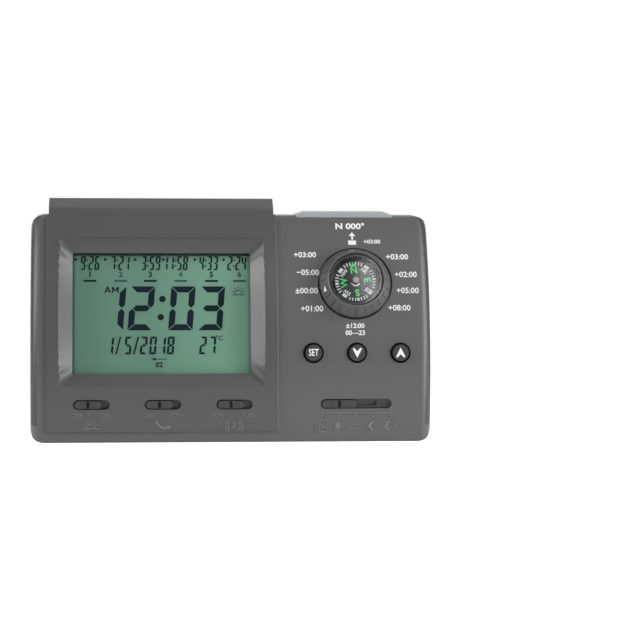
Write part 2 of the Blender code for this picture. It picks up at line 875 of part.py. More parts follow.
def make_holder():
    """Tray behind the display: a wall round it and a ledge behind it, open in the middle"""
    depth = holder_end_depth - window_depth
    holder = plate("lcd_holder", rounded_outline(holder_width, holder_height, holder_wall / 2,
                                                 small_corner_steps), depth)
    place(holder, display_datum, 0, 0, -holder_end_depth)
    pocket = plate("holder_pocket", rounded_outline(window_width + 2 * clearance,
                                                    window_height + 2 * clearance, clearance,
                                                    small_corner_steps), depth + overrun)
    cut(holder, as_tool(place(pocket, display_datum, 0, 0, -holder_ledge_depth)))
    through = plate("holder_through", rounded_outline(window_width - 2 * holder_ledge,
                                                      window_height - 2 * holder_ledge, clearance,
                                                      small_corner_steps), depth + 2 * overrun)
    cut(holder, as_tool(place(through, display_datum, 0, 0, -holder_end_depth - overrun)))
    slit = box("holder_strip_slit", (window_width - 2 * strip_inset + 2 * clearance,
                                     holder_ledge, 4 * overrun))
    slit_up = (holder_ledge - window_height) / 2 - clearance
    cut(holder, as_tool(place(slit, display_datum, 0, slit_up, -holder_end_depth)))
    return finish(holder, "lcd_holder", white_plastic, display_datum)


lcd_holder = make_holder()


def make_contact_strip():
    depth = main_board_depth - backlight_depth - 2 * clearance
    strip = box("contact_strip", (window_width - 2 * strip_inset, strip_height, depth))
    middle_depth = backlight_depth + (depth + clearance) / 2
    place(strip, display_datum, 0, (strip_height - window_height) / 2, -middle_depth)
    return finish(strip, "contact_strip", rubber_grey, display_datum)


contact_strip = make_contact_strip()
main_board = plane_plate("main_board", holder_width, main_board_height, main_board_depth,
                         board_thickness, board_green, board_corner)


def make_chip():
    chip = box("controller_chip", (chip_side, chip_side, chip_thickness))
    out = -(main_board_depth + board_thickness + clearance + chip_thickness / 2)
    place(chip, display_datum, chip_across, 0, out)
    bevel(chip, block_bevel_share * chip_thickness, 1)
    return finish(chip, "controller_chip", dark_plastic, display_datum)


controller_chip = make_chip()

# City selector
ring_centre_hole = disc("selector_hole", ring_gap_radius, 4 * overrun, steps=ring_steps)
cut(front_case, as_tool(place(ring_centre_hole, selector_datum, 0, 0, -2 * overrun)))


def make_selector_ring():
    """Conical ring knob with a bore for the compass, shallow ribs down its skirt"""
    foot = -(rotor_depth - clearance)
    profile = [
        (ring_bore_radius, ring_proud - ring_edge_rounding),
        (ring_bore_radius + ring_edge_rounding / 2, ring_proud),
        (ring_lip_radius - ring_edge_rounding / 2, ring_proud),
        (ring_lip_radius + ring_edge_rounding / 2, ring_proud - ring_edge_rounding),
        (ring_base_radius - ring_edge_rounding / 2, ring_edge_rounding),
        (ring_base_radius, 0),
        (ring_base_radius, foot),
        (ring_bore_radius, foot),
    ]
    ring = turned("selector_ring", profile, ring_steps)
    place(ring, selector_datum)
    slope = atan2(ring_base_radius - ring_lip_radius, ring_proud)
    length = sqrt(ring_proud ** 2 + (ring_base_radius - ring_lip_radius) ** 2)
    middle = Vector(((ring_base_radius + ring_lip_radius) / 2, 0, ring_proud / 2))
    for index in range(ring_rib_count):
        groove = box("ring_groove", (2 * ring_rib_depth, ring_rib_width, ring_rib_length_share * length))
        angle = 2 * pi * index / ring_rib_count
        turn = Matrix.Rotation(angle, 4, "Z") @ Matrix.Translation(middle) @ Matrix.Rotation(-slope, 4, "Y")
        groove.data.transform(turn)
        cut(ring, as_tool(groove, selector_datum))
    return finish(ring, "selector_ring", casing_plastic, selector_datum)


selector_ring = make_selector_ring()


def make_rotor():
    """Plate behind the face that keeps the ring in and carries the sliding contact"""
    rotor = disc("selector_rotor", rotor_radius, rotor_thickness, steps=ring_steps)
    place(rotor, selector_datum, 0, 0, -rotor_back_depth)
    arm = box("rotor_wiper", (wiper_width, wiper_width, wiper_height + seat_overlap))
    join(rotor, as_tool(place(arm, selector_datum, 0, rotor_radius - wiper_inset,
                              -rotor_back_depth - (wiper_height - seat_overlap) / 2)))
    hub = disc("rotor_hub", rotor_hub_radius, wiper_height + seat_overlap)
    join(rotor, as_tool(place(hub, selector_datum, 0, 0, -rotor_back_depth - wiper_height)))
    return finish(rotor, "selector_rotor", white_plastic, selector_datum)


selector_rotor = make_rotor()


def make_selector_board():
    board = disc("selector_board", selector_board_radius, board_thickness)
    place(board, selector_datum, 0, 0, -selector_board_depth - board_thickness)
    finish(board, "selector_board", board_green, selector_datum)
    reach = rotor_radius + clearance + post_radius
    for quarter in range(4):
        angle = selector_post_angle + quarter * pi / 2
        across, up = reach * cos(angle), reach * sin(angle)
        lug = disc("board_lug", lug_radius, board_thickness, steps=post_steps)
        board_back = -selector_board_depth - board_thickness
        join(board, as_tool(place(lug, selector_datum, across, up, board_back)))
        add_post(front_case, selector_datum, across, up, -wall / 2, -selector_board_depth + clearance,
                 post_radius)
    return board


selector_board = make_selector_board()


# Compass
def make_compass():
    rim = ring_proud - cup_rim_drop
    outer = ring_bore_radius - clearance
    inner = outer - cup_wall
    bottom = clearance - rotor_depth
    floor = bottom + cup_floor
    cup = turned("compass_cup", [(0, floor), (inner, floor), (inner, rim), (outer, rim), (outer, bottom),
                                 (0, bottom)], compass_steps)
    finish(place(cup, selector_datum), "compass_cup", dark_plastic, selector_datum)
    card_top = ring_proud - card_depth_below_lip
    card_low = card_top - card_thickness
    bearing = card_top + jewel_height - jewel_cap_thickness
    card = turned("compass_card", [
        (0, card_top + jewel_height),
        (jewel_radius, card_top + jewel_height),
        (jewel_radius, card_top),
        (card_radius, card_top),
        (card_radius, card_low),
        (jewel_bore_radius, card_low),
        (jewel_bore_radius, bearing),
        (0, bearing),
    ], compass_steps)
    finish(place(card, selector_datum), "compass_card", card_black, selector_datum)
    foot = floor + clearance
    top = bearing - clearance
    pivot = turned("compass_pivot", [
        (0, top),
        (pivot_radius, top - pivot_radius),
        (pivot_radius, foot + pivot_foot_height),
        (pivot_foot_radius, foot + pivot_foot_height),
        (pivot_foot_radius, foot),
        (0, foot),
    ], fine_steps)
    finish(place(pivot, selector_datum), "compass_pivot", bright_metal, selector_datum)
    dome_low = rim + clearance
    radius = ring_bore_radius - clearance

    def dome_curve(height, span):
        sphere = (span * span + height * height) / (2 * height)
        places = [span * step / dome_steps for step in range(dome_steps + 1)]
        return [(across, sqrt(sphere ** 2 - across ** 2) - sphere + height) for across in places]

    upper = [(across, dome_low + dome_thickness + up) for across, up in dome_curve(dome_rise, radius)]
    lower = [(across, dome_low + up) for across, up in dome_curve(dome_rise, radius)]
    dome = turned("compass_dome", upper + lower[::-1], compass_steps)
    finish(place(dome, selector_datum), "compass_dome", clear_plastic, selector_datum)
    return cup, card, pivot, dome


compass_cup, compass_card, compass_pivot, compass_dome = make_compass()

# Push buttons with their tact switches
button_names = ("set", "down", "up")
flange_depth = wall + clearance
stem_end_depth = flange_depth + button_flange_thickness + button_stem_length
plunger_depth = stem_end_depth + clearance
tact_top_depth = plunger_depth + tact_plunger_height
key_board_depth = tact_top_depth + tact_body_height + clearance


def make_tact(name, datum, top_depth, sunk, travel):
    """Tact switch body with a well, and the plunger that rides in it"""
    body = box(name + "_switch", (tact_side, tact_side, tact_body_height))
    place(body, datum, 0, 0, -top_depth - tact_body_height / 2)
    bevel(body, block_bevel_share * tact_body_height, 1)
    well_depth = sunk + travel + clearance
    well = disc(name + "_well", tact_plunger_radius + clearance, well_depth + overrun, steps=fine_steps)
    cut(body, as_tool(place(well, datum, 0, 0, -top_depth - well_depth)))
    finish(body, name + "_switch", dark_plastic, datum)
    plunger = disc(name + "_plunger", tact_plunger_radius, tact_plunger_height + sunk, steps=fine_steps)
    place(plunger, datum, 0, 0, -top_depth - sunk)
    finish(plunger, name + "_plunger", white_plastic, datum)
    return body, plunger


def make_button(name, datum):
    hole = disc(name + "_hole", button_hole_radius, 4 * overrun)
    cut(front_case, as_tool(place(hole, datum, 0, 0, -2 * overrun)))
    flange_low = -flange_depth - button_flange_thickness
    cap = turned(name + "_button", [
        (0, button_proud),
        (button_radius - button_edge_rounding, button_proud),
        (button_radius - button_edge_share * button_edge_rounding,
         button_proud - button_edge_share * button_edge_rounding),
        (button_radius, button_proud - button_edge_rounding),
        (button_radius, -flange_depth),
        (button_flange_radius, -flange_depth),
        (button_flange_radius, flange_low),
        (button_stem_radius, flange_low),
        (button_stem_radius, -stem_end_depth),
        (0, -stem_end_depth),
    ])
    finish(place(cap, datum), name + "_button", casing_plastic, datum)
    make_tact(name, datum, tact_top_depth, tact_plunger_sunk, button_travel)


for button_name, button_datum in zip(button_names, button_datums):
    make_button(button_name, button_datum)


def make_key_board():
    middle = button_datums[1]
    board = plate("key_board", rounded_outline(key_board_width, key_board_height, board_thickness / 2,
                                               small_corner_steps), board_thickness)
    place(board, middle, 0, 0, -key_board_depth - board_thickness)
    finish(board, "key_board", board_green, middle)
    for side in (-1, 1):
        add_post(front_case, middle, side * button_pitch / 2, 0, -wall / 2, -key_board_depth + clearance,
                 post_radius)


make_key_board()

# Slides: knob in its slot, lever and switch body behind
slide_names = ("alarm_slide", "call_slide", "snooze_slide")
lever_top_depth = slide_stem_reach + clearance
switch_top_depth = lever_top_depth + lever_length - lever_sunk
slide_board_depth = switch_top_depth + switch_depth + clearance


def knob_shift(length, knob_length):
    """Place of a knob's middle from its slot's middle, with the knob at its left stop"""
    return -(length / 2 - slide_end_gap - knob_length / 2)


def make_slide(name, across, slot_length, knob_length, travel, proud, floor_depth):
    start = across + knob_shift(slot_length, knob_length)
    knob_bottom_depth = floor_depth - clearance
    top = proud + slide_knob_proud
    knob = slot_prism(name + "_knob", knob_length, slide_knob_height, top + knob_bottom_depth)
    place(knob, slide_row_datum, start, 0, -knob_bottom_depth)
    stem = box(name + "_stem", (slide_stem_width, slide_stem_height,
                                slide_stem_reach - knob_bottom_depth + seat_overlap))
    stem_middle = -(slide_stem_reach + knob_bottom_depth - seat_overlap) / 2
    join(knob, as_tool(place(stem, slide_row_datum, start, 0, stem_middle)))
    notch = box(name + "_notch", (slide_notch_width, slide_knob_height + overrun, 2 * slide_notch_depth))
    cut(knob, as_tool(place(notch, slide_row_datum, start, 0, top)))
    ribs = int((knob_length / 2 - slide_knob_height / 2 - slide_notch_width) / slide_rib_pitch)
    for side in (-1, 1):
        for index in range(ribs):
            offset = side * (slide_notch_width + (index + 1) * slide_rib_pitch)
            rib = box(name + "_rib", (slide_rib_width, slide_knob_height + overrun, 2 * slide_rib_depth))
            cut(knob, as_tool(place(rib, slide_row_datum, start + offset, 0, top)))
    finish(knob, name + "_knob", casing_plastic, slide_row_datum)
    lever = box(name + "_lever", (lever_width, lever_height, lever_length))
    place(lever, slide_row_datum, start, 0, -lever_top_depth - lever_length / 2)
    finish(lever, name + "_lever", white_plastic, slide_row_datum)
    body_length = switch_length + travel
    body = box(name + "_switch", (body_length, switch_height, switch_depth))
    place(body, slide_row_datum, across, 0, -switch_top_depth - switch_depth / 2)
    well_length = lever_width + travel + 2 * clearance
    well = box(name + "_well", (well_length, lever_height + 2 * clearance, 2 * (lever_sunk + clearance)))
    cut(body, as_tool(place(well, slide_row_datum, start + travel / 2, 0, -switch_top_depth)))
    finish(body, name + "_switch", bright_metal, slide_row_datum)
    slit = box(name + "_slit", (slide_stem_width + travel + 2 * clearance, slide_slit_height, 4 * overrun))
    cut(front_case, as_tool(place(slit, slide_row_datum, start + travel / 2, 0, 0)))


for slide_name, slide_across in zip(slide_names, slide_centres):
    make_slide(slide_name, slide_across, slide_slot_length, slide_knob_length, slide_travel, strap_proud,
               strap_sunk)

mode_pocket = slot_prism("mode_pocket", mode_slot_length, slide_slot_height, overrun + slide_pocket_depth)
cut(front_case, as_tool(place(mode_pocket, slide_row_datum, mode_centre_across, 0, -slide_pocket_depth)))
make_slide("mode_slide", mode_centre_across, mode_slot_length, mode_knob_length, mode_travel, 0.0,
           slide_pocket_depth)


def make_slide_board():
    board = plate("slide_board", rounded_outline(slide_board_width, slide_board_height,
                                                 board_thickness / 2, small_corner_steps), board_thickness)
    place(board, slide_row_datum, 0, -slide_board_drop, -slide_board_depth - board_thickness)
    finish(board, "slide_board", board_green, slide_row_datum)
    spans = sorted(slide_centres + (mode_centre_across,))
    for first, second in zip(spans, spans[1:]):
        post_across = (first + second) / 2
        if second == mode_centre_across:
            post_across = first + (slide_centres[1] - slide_centres[0]) / 2
        add_post(front_case, slide_row_datum, post_across, 0, -wall / 2, -slide_board_depth + clearance,
                 post_radius)


make_slide_board()


# Snooze and light button
snooze_front_y = front_y + top_setback + snooze_front_margin
snooze_centre_y = snooze_front_y + snooze_depth / 2
flange_top = body_height - wall - 2 * clearance


def make_snooze_button():
    """Bar with sloped ends, its flange under the casing's top, its stem over the switch"""
    half, low = snooze_width / 2, flange_top - snooze_flange_thickness
    shoulder = body_height - wall
    outline = [(-half, low), (half, low), (half, body_height + clearance),
               (half - snooze_end_slope_run, snooze_top_height),
               (-half + snooze_end_slope_run, snooze_top_height), (-half, body_height + clearance)]
    bar = plate("snooze_light_button", outline, snooze_depth)
    bar.data.transform(Matrix.Rotation(pi / 2, 4, "X"))
    bar.location = (snooze_middle, snooze_front_y + snooze_depth, 0)
    bevel(bar, snooze_edge_rounding, 2, radians(25))
    flange = box("snooze_flange", (snooze_width + 2 * snooze_flange, snooze_depth / 2,
                                   snooze_flange_thickness),
                 (snooze_middle, snooze_centre_y + snooze_depth / 4 + snooze_flange,
                  flange_top - snooze_flange_thickness / 2))
    join(bar, as_tool(flange))
    stem = disc("snooze_stem", snooze_stem_radius, snooze_stem_length + seat_overlap,
                (snooze_middle, snooze_centre_y, low - snooze_stem_length), post_steps)
    join(bar, as_tool(stem))
    hole = box("snooze_hole", (snooze_width + 2 * clearance, snooze_depth + 2 * clearance, 4 * wall),
               (snooze_middle, snooze_centre_y, shoulder + wall))
    cut(rear_case, as_tool(hole))
    cut(front_case, hole)
    return finish(bar, "snooze_light_button", button_plastic)


snooze_button = make_snooze_button()
snooze_stem_end = flange_top - snooze_flange_thickness - snooze_stem_length

snooze_datum = bpy.data.objects.new("snooze_datum", None)
clock_parts.objects.link(snooze_datum)
snooze_datum.location = (snooze_middle, snooze_centre_y, snooze_stem_end - clearance)
snooze_datum.empty_display_size = overrun
make_tact("snooze", snooze_datum, tact_plunger_height, tact_plunger_sunk, snooze_travel)
shelf_top = snooze_datum.location.z - tact_plunger_height - tact_body_height - clearance
shelf_front_y = snooze_centre_y - tact_side / 2
shelf_back_y = back_point(shelf_top, wall / 2)[0]
shelf_size = (snooze_shelf_width, shelf_back_y - shelf_front_y, snooze_shelf_thickness)
shelf_middle = (snooze_middle, (shelf_front_y + shelf_back_y) / 2, shelf_top - snooze_shelf_thickness / 2)
snooze_shelf = box("snooze_shelf", shelf_size, shelf_middle)
join(rear_case, as_tool(snooze_shelf))


# Case screws: posts on the front half, sleeves in the rear half
def disc_along_y(name, radius, near, far, across, height, steps=fine_steps):
    item = disc(name, radius, far - near, (across, far, height), steps)
    item.data.transform(Matrix.Rotation(pi / 2, 4, "X"))
    return item


def make_screw(number, across, height):
    post_end = parting_y(height) + case_post_reach
    ends = (height - case_post_radius, height + case_post_radius)
    post_start = max(face_point(face_angle(end))[0] for end in ends) + strap_sunk + 2 * seat_overlap
    post = disc_along_y("case_post", case_post_radius, post_start, post_end, across, height)
    join(front_case, as_tool(post))
    sleeve_start = post_end + clearance
    sleeve_end = back_point(height, wall / 2)[0]
    sleeve = disc_along_y("case_sleeve", sleeve_radius, sleeve_start, sleeve_end, across, height)
    join(rear_case, as_tool(sleeve))
    seat = sleeve_start + screw_seat_thickness
    head_end = seat + clearance + screw_head_height
    tip = seat + clearance - screw_length
    passage = disc_along_y("screw_pass", screw_hole_radius, sleeve_start - clearance, seat + clearance,
                           across, height)
    bore = disc_along_y("screw_bore", screw_bore_radius, seat, back_y + overrun, across, height)
    cut(rear_case, as_tool(passage), as_tool(bore))
    pilot = disc_along_y("screw_pilot", screw_hole_radius, tip - clearance, post_end + overrun, across,
                         height)
    cut(front_case, as_tool(pilot))
    screw = turned(f"case_screw_{number}", [
        (0, head_end),
        (screw_head_radius - screw_edge_share * screw_head_height, head_end),
        (screw_head_radius, head_end - screw_edge_share * screw_head_height),
        (screw_head_radius, seat + clearance),
        (screw_radius, seat + clearance),
        (screw_radius, tip + screw_radius),
        (0, tip),
    ], fine_steps)
    for turn in (0, pi / 2):
        slot = box("screw_slot", (screw_slot_length, screw_slot_width, 2 * screw_slot_depth))
        slot.data.transform(Matrix.Translation((0, 0, head_end)) @ Matrix.Rotation(turn, 4, "Z"))
        slot.rotation_euler = (-pi / 2, 0, 0)
        slot.location = (across, 0, height)
        cut(screw, as_tool(slot))
    screw.rotation_euler = (-pi / 2, 0, 0)
    screw.location = (across, 0, height)
    finish(screw, f"case_screw_{number}", bright_metal)


screw_number = 0
for post_height in case_post_heights:
    for post_side in (-1, 1):
        screw_number += 1
        make_screw(screw_number, post_side * case_post_across, post_height)

# Battery bay in the rear half
contact_room = contact_thickness + 2 * clearance
bay_length = cell_length + cell_nub_length + spring_length + 2 * contact_room + clearance
bay_left = bay_centre_across - bay_length / 2
bay_right = bay_left + bay_length
bay_front_y = back_y - door_thickness - 2 * clearance - 2 * cell_radius - clearance
bay_middle_height = bay_bottom_height + bay_height / 2
cell_y = bay_front_y + clearance + cell_radius
door_width = bay_length + 2 * door_margin
door_bottom = bay_bottom_height - door_margin
door_top = bay_bottom_height + bay_height + door_margin
door_axis = (bay_centre_across, back_y - door_thickness / 2, door_bottom + door_thickness / 2)


def make_bay():
    deep = back_y - bay_front_y
    block_depth = deep + bay_wall - wall / 2
    block = box("bay_block", (bay_length + 2 * bay_wall, block_depth, bay_height + 2 * bay_wall),
                (bay_centre_across, back_y - (wall + block_depth) / 2, bay_middle_height))
    join(rear_case, as_tool(block))
    hollow = box("bay_hollow", (bay_length, deep + overrun, bay_height),
                 (bay_centre_across, bay_front_y + (deep + overrun) / 2, bay_middle_height))
    rebate_deep = door_thickness + clearance
    rebate = box("door_rebate", (door_width + 2 * clearance, rebate_deep + overrun,
                                 door_top - door_bottom + 2 * clearance),
                 (bay_centre_across, back_y - rebate_deep + (rebate_deep + overrun) / 2,
                  (door_bottom + door_top) / 2))
    hole_length = door_width + 2 * (door_pin_length + clearance)
    pin_hole = disc("door_pin_hole", door_pin_radius + clearance, hole_length, steps=fine_steps)
    pin_hole.data.transform(Matrix.Rotation(pi / 2, 4, "Y"))
    pin_hole.location = (door_axis[0] - hole_length / 2, door_axis[1], door_axis[2])
    cut(rear_case, as_tool(hollow), as_tool(rebate), as_tool(pin_hole))


make_bay()


def make_door():
    """Door with a round lower edge about its pins, and grip grooves near its top"""
    half = door_thickness / 2
    angles = [-pi * step / door_round_steps for step in range(door_round_steps + 1)]
    outline = [(half * cos(angle), half * sin(angle)) for angle in angles]
    tall = door_top - door_axis[2]
    outline += [(-half, tall), (half, tall)]
    door = side_prism("battery_door", outline, -door_width / 2, door_width / 2)
    door.location = door_axis
    pin_length = door_width + 2 * door_pin_length
    pin = disc("door_pin", door_pin_radius, pin_length, steps=fine_steps)
    pin.data.transform(Matrix.Rotation(pi / 2, 4, "Y"))
    pin.location = (door_axis[0] - pin_length / 2, door_axis[1], door_axis[2])
    join(door, as_tool(pin))
    for index in range(door_rib_count):
        height = door_top - door_rib_top_drop - index * door_rib_pitch
        groove = box("door_groove", (door_rib_width, 2 * door_rib_depth, door_rib_height),
                     (door_axis[0], back_y, height))
        cut(door, as_tool(groove))
    return finish(door, "battery_door", casing_plastic)


battery_door = make_door()


def make_cell(number, height, facing):
    """AA cell lying across the clock; facing 1 has its nub to the right"""
    spring_room = contact_room + spring_length + clearance
    low = spring_room if facing > 0 else contact_room + cell_nub_length
    cell = turned(f"battery_{number}", [
        (0, cell_length + cell_nub_length),
        (cell_nub_radius, cell_length + cell_nub_length),
        (cell_nub_radius, cell_length),
        (cell_radius - cell_edge_rounding, cell_length),
        (cell_radius, cell_length - cell_edge_rounding),
        (cell_radius, cell_edge_rounding),
        (cell_radius - cell_edge_rounding, 0),
        (0, 0),
    ])
    cell.rotation_euler = (0, facing * pi / 2, 0)
    start = bay_left + low if facing > 0 else bay_left + low + cell_length
    cell.location = (start, cell_y, height)
    finish(cell, f"battery_{number}", cell_jacket)


lower_cell_height = bay_bottom_height + clearance + cell_radius
upper_cell_height = lower_cell_height + 2 * cell_radius + clearance
make_cell(1, lower_cell_height, 1)
make_cell(2, upper_cell_height, -1)


def make_spring(name, height, facing):
    """Conical contact spring, wide end on its plate, as one unbroken wire"""
    points = []
    span = spring_length - 2 * spring_wire_radius
    total = spring_turns * spring_points_per_turn
    for index in range(total + 1):
        share = index / total
        radius = spring_large_radius + (spring_small_radius - spring_large_radius) * share
        angle = 2 * pi * spring_turns * share
        points.append(Vector((spring_wire_radius + span * share, radius * cos(angle), radius * sin(angle))))
    apart = spring_points_per_turn // 2
    gap = min((points[first] - points[second]).length
              for first in range(total + 1) for second in range(first + apart, total + 1))
    print(f"{name}: least gap between turns {(gap - 2 * spring_wire_radius) / MM:.2f} mm")
    curve = bpy.data.curves.new(name, "CURVE")
    curve.dimensions = "3D"
    curve.bevel_depth = spring_wire_radius
    curve.bevel_resolution = 1
    curve.use_fill_caps = True
    spline = curve.splines.new("POLY")
    spline.points.add(total)
    for target, point in zip(spline.points, points):
        target.co = (*point, 1)
    spring = bpy.data.objects.new(name, curve)
    clock_parts.objects.link(spring)
    start = bay_left + contact_room if facing > 0 else bay_right - contact_room
    spring.location = (start, cell_y, height)
    spring.rotation_euler = (0, 0, 0 if facing > 0 else pi)
    curve.materials.append(bright_metal)
    return spring


make_spring("contact_spring_1", lower_cell_height, 1)
make_spring("contact_spring_2", upper_cell_height, -1)


def make_contact(name, side, low, high):
    plate_x = bay_left + clearance + contact_thickness / 2
    if side > 0:
        plate_x = bay_right - clearance - contact_thickness / 2
    item = box(name, (contact_thickness, contact_width, high - low), (plate_x, cell_y, (low + high) / 2))
    finish(item, name, bright_metal)


contact_half = contact_width / 2
make_contact("contact_bridge", -1, lower_cell_height - contact_half, upper_cell_height + contact_half)
make_contact("contact_positive", 1, lower_cell_height - contact_half, lower_cell_height + contact_half)
make_contact("contact_negative", 1, upper_cell_height - contact_half, upper_cell_height + contact_half)


# Speaker behind the grille
def make_speaker():
    front = -clearance
    rim_inner = speaker_radius - speaker_rim_width
    deep = front - speaker_basket_depth
    frame = turned("speaker_frame", [
        (0, deep + speaker_wall),
        (speaker_back_radius - speaker_wall, deep + speaker_wall),
        (rim_inner - speaker_wall, front - speaker_rim_depth),
        (rim_inner, front - speaker_rim_depth + speaker_wall),
        (rim_inner, front),
        (speaker_radius, front),
        (speaker_radius, front - speaker_rim_depth),
        (rim_inner, front - speaker_rim_depth - speaker_wall / 2),
        (speaker_back_radius, deep),
        (0, deep),
    ])
    finish(place(frame, speaker_datum), "speaker_frame", bright_metal, speaker_datum)
    edge = rim_inner - speaker_wall - clearance
    top = front - clearance
    bottom = top - cone_dish
    cone = turned("speaker_cone", [
        (0, bottom + cap_rise_shares[0] * cone_cap_radius),
        (cone_cap_radius / 2, bottom + cap_rise_shares[1] * cone_cap_radius),
        (cone_cap_radius, bottom),
        (edge - 2 * cone_thickness, top - cone_thickness),
        (edge, top - cone_thickness),
        (edge, top - 2 * cone_thickness),
        (edge - 2 * cone_thickness, top - 2 * cone_thickness),
        (cone_cap_radius, bottom - cone_thickness),
        (0, bottom - cone_thickness),
    ])
    finish(place(cone, speaker_datum), "speaker_cone", dark_plastic, speaker_datum)
    magnet = disc("speaker_magnet", magnet_radius, magnet_depth)
    place(magnet, speaker_datum, 0, 0, deep - clearance - magnet_depth)
    bevel(magnet, block_bevel_share * magnet_depth, 1)
    finish(magnet, "speaker_magnet", bright_metal, speaker_datum)


make_speaker()


def make_grille():
    collar = turned("speaker_collar", [
        (speaker_radius + clearance, wall / 2),
        (speaker_radius + clearance + 2 * speaker_wall, wall / 2),
        (speaker_radius + clearance + 2 * speaker_wall, -2 * speaker_rim_depth),
        (speaker_radius + clearance, -2 * speaker_rim_depth),
    ])
    join(rear_case, as_tool(place(collar, speaker_datum)))
    for index in range(grille_slot_count):
        offset = (index - (grille_slot_count - 1) / 2) * grille_pitch
        length = 2 * sqrt(grille_radius ** 2 - offset ** 2)
        slot = slot_prism("grille_slot", length, grille_slot_share * grille_pitch, 3 * wall)
        cut(rear_case, as_tool(place(slot, speaker_datum, 0, offset, -wall)))


make_grille()
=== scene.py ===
"""Looks for the azan table clock: moulded plastic skins, display segments, printed and moulded marks,
compass card, light and camera. Metres, +Z up, front towards -Y."""
import json
from math import asin, atan, cos, pi, radians, sin, sqrt

import bmesh
import bpy
import numpy as np
from mathutils import Matrix, Vector

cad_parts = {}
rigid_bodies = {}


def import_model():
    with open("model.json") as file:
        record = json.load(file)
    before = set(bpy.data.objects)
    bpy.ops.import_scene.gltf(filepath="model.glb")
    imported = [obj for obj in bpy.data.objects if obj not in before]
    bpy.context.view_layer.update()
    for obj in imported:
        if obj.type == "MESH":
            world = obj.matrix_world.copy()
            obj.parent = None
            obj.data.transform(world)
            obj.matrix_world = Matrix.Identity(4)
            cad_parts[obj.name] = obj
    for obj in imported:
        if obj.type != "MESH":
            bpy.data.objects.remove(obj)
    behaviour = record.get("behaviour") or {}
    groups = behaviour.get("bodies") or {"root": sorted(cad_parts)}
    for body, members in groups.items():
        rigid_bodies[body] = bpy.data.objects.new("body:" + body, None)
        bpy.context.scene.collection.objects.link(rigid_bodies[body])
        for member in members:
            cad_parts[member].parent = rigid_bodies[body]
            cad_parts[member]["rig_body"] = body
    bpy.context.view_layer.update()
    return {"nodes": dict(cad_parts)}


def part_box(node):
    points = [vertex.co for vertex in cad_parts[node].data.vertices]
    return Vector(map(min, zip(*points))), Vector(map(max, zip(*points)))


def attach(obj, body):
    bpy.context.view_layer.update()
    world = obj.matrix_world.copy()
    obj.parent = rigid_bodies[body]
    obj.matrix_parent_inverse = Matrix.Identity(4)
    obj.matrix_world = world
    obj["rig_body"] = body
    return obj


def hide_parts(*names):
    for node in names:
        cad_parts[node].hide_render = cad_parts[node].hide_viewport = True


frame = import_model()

MM = 0.001
IMAGE_SIDE = 640

# The casing's face: an arc about an axis that runs across the clock
FACE_RADIUS = 114.6 * MM
FACE_AXIS_Y = 89.2337 * MM
FACE_AXIS_Z = 18.9 * MM
STRAP_PROUD = 0.8 * MM
LCD_DEPTH = 7.4 * MM
# Edges of the painted shadow on the display field
SHADOW_FOOT = 69.0 * MM
SHADOW_RIGHT = -58.6 * MM
CAP_EDGE = 2.95 * MM
DOME_RISE = 0.6 * MM
RING_PROUD = 5.3 * MM
RING_LIP_RADIUS = 10.75 * MM
RING_BASE_RADIUS = 13.45 * MM
CARD_TOP = 1.9 * MM
CREASE = radians(34)


# Places on the clock
def face_lean(height):
    """Angle up the face's arc at a height: arcsine of (height - axis height) / radius"""
    return asin((height - FACE_AXIS_Z) / FACE_RADIUS)


def face_frame(across, height):
    """4x4 frame on the face: local X across, Y up the face, Z out of it"""
    lean = face_lean(height)
    turn = np.eye(4)
    turn[:3, 0] = (1, 0, 0)
    turn[:3, 1] = (0, sin(lean), cos(lean))
    turn[:3, 2] = (0, -cos(lean), sin(lean))
    turn[:3, 3] = (across, FACE_AXIS_Y - FACE_RADIUS * cos(lean), FACE_AXIS_Z + FACE_RADIUS * sin(lean))
    return turn


DISPLAY = face_frame(-26.1 * MM, 49.2 * MM)
SELECTOR = face_frame(46.4 * MM, 59.45 * MM)
BUTTONS = {name: face_frame(across * MM, 33.65 * MM)
           for name, across in (("set", 30.3), ("down", 46.65), ("up", 63.0))}


def on_plane(place, shift=(0, 0, 0)):
    """Map local points into a flat frame: place times (point + shift)"""
    def put(points):
        return (points + np.array(shift)) @ place[:3, :3].T + place[:3, 3]
    return put


def on_face(across, height, out=0.0):
    """Wrap local points on the face's cylinder: up becomes an angle, height above the sheet a radius"""
    lean = face_lean(height)

    def put(points):
        angle = lean + points[:, 1] / (FACE_RADIUS + out)
        reach = FACE_RADIUS + out + points[:, 2]
        return np.column_stack((across + points[:, 0], FACE_AXIS_Y - reach * np.cos(angle),
                                FACE_AXIS_Z + reach * np.sin(angle)))
    return put


# Shader maths written as expressions
class Field:
    """A socket's value, so that + - * / on it add Math nodes"""

    def __init__(self, finish, socket):
        self.finish, self.socket = finish, socket

    def maths(self, operation, *values, clamp=False):
        inputs = {index: value for index, value in enumerate(values)}
        return self.finish.node("ShaderNodeMath", {"operation": operation, "use_clamp": clamp}, inputs)

    def __add__(self, other):
        return self.maths("ADD", self, other)

    __radd__ = __add__

    def __mul__(self, other):
        return self.maths("MULTIPLY", self, other)

    __rmul__ = __mul__

    def __sub__(self, other):
        return self.maths("SUBTRACT", self, other)

    def __rsub__(self, other):
        return self.maths("SUBTRACT", other, self)

    def __truediv__(self, other):
        return self.maths("DIVIDE", self, other)

    def root(self):
        return self.maths("SQRT", self)

    def clamp(self):
        return self.maths("ADD", self, 0.0, clamp=True)

    def above(self, edge, soft):
        """0 below the edge, 1 above it, with a soft step between"""
        return ((self - edge) / soft + 0.5).clamp()


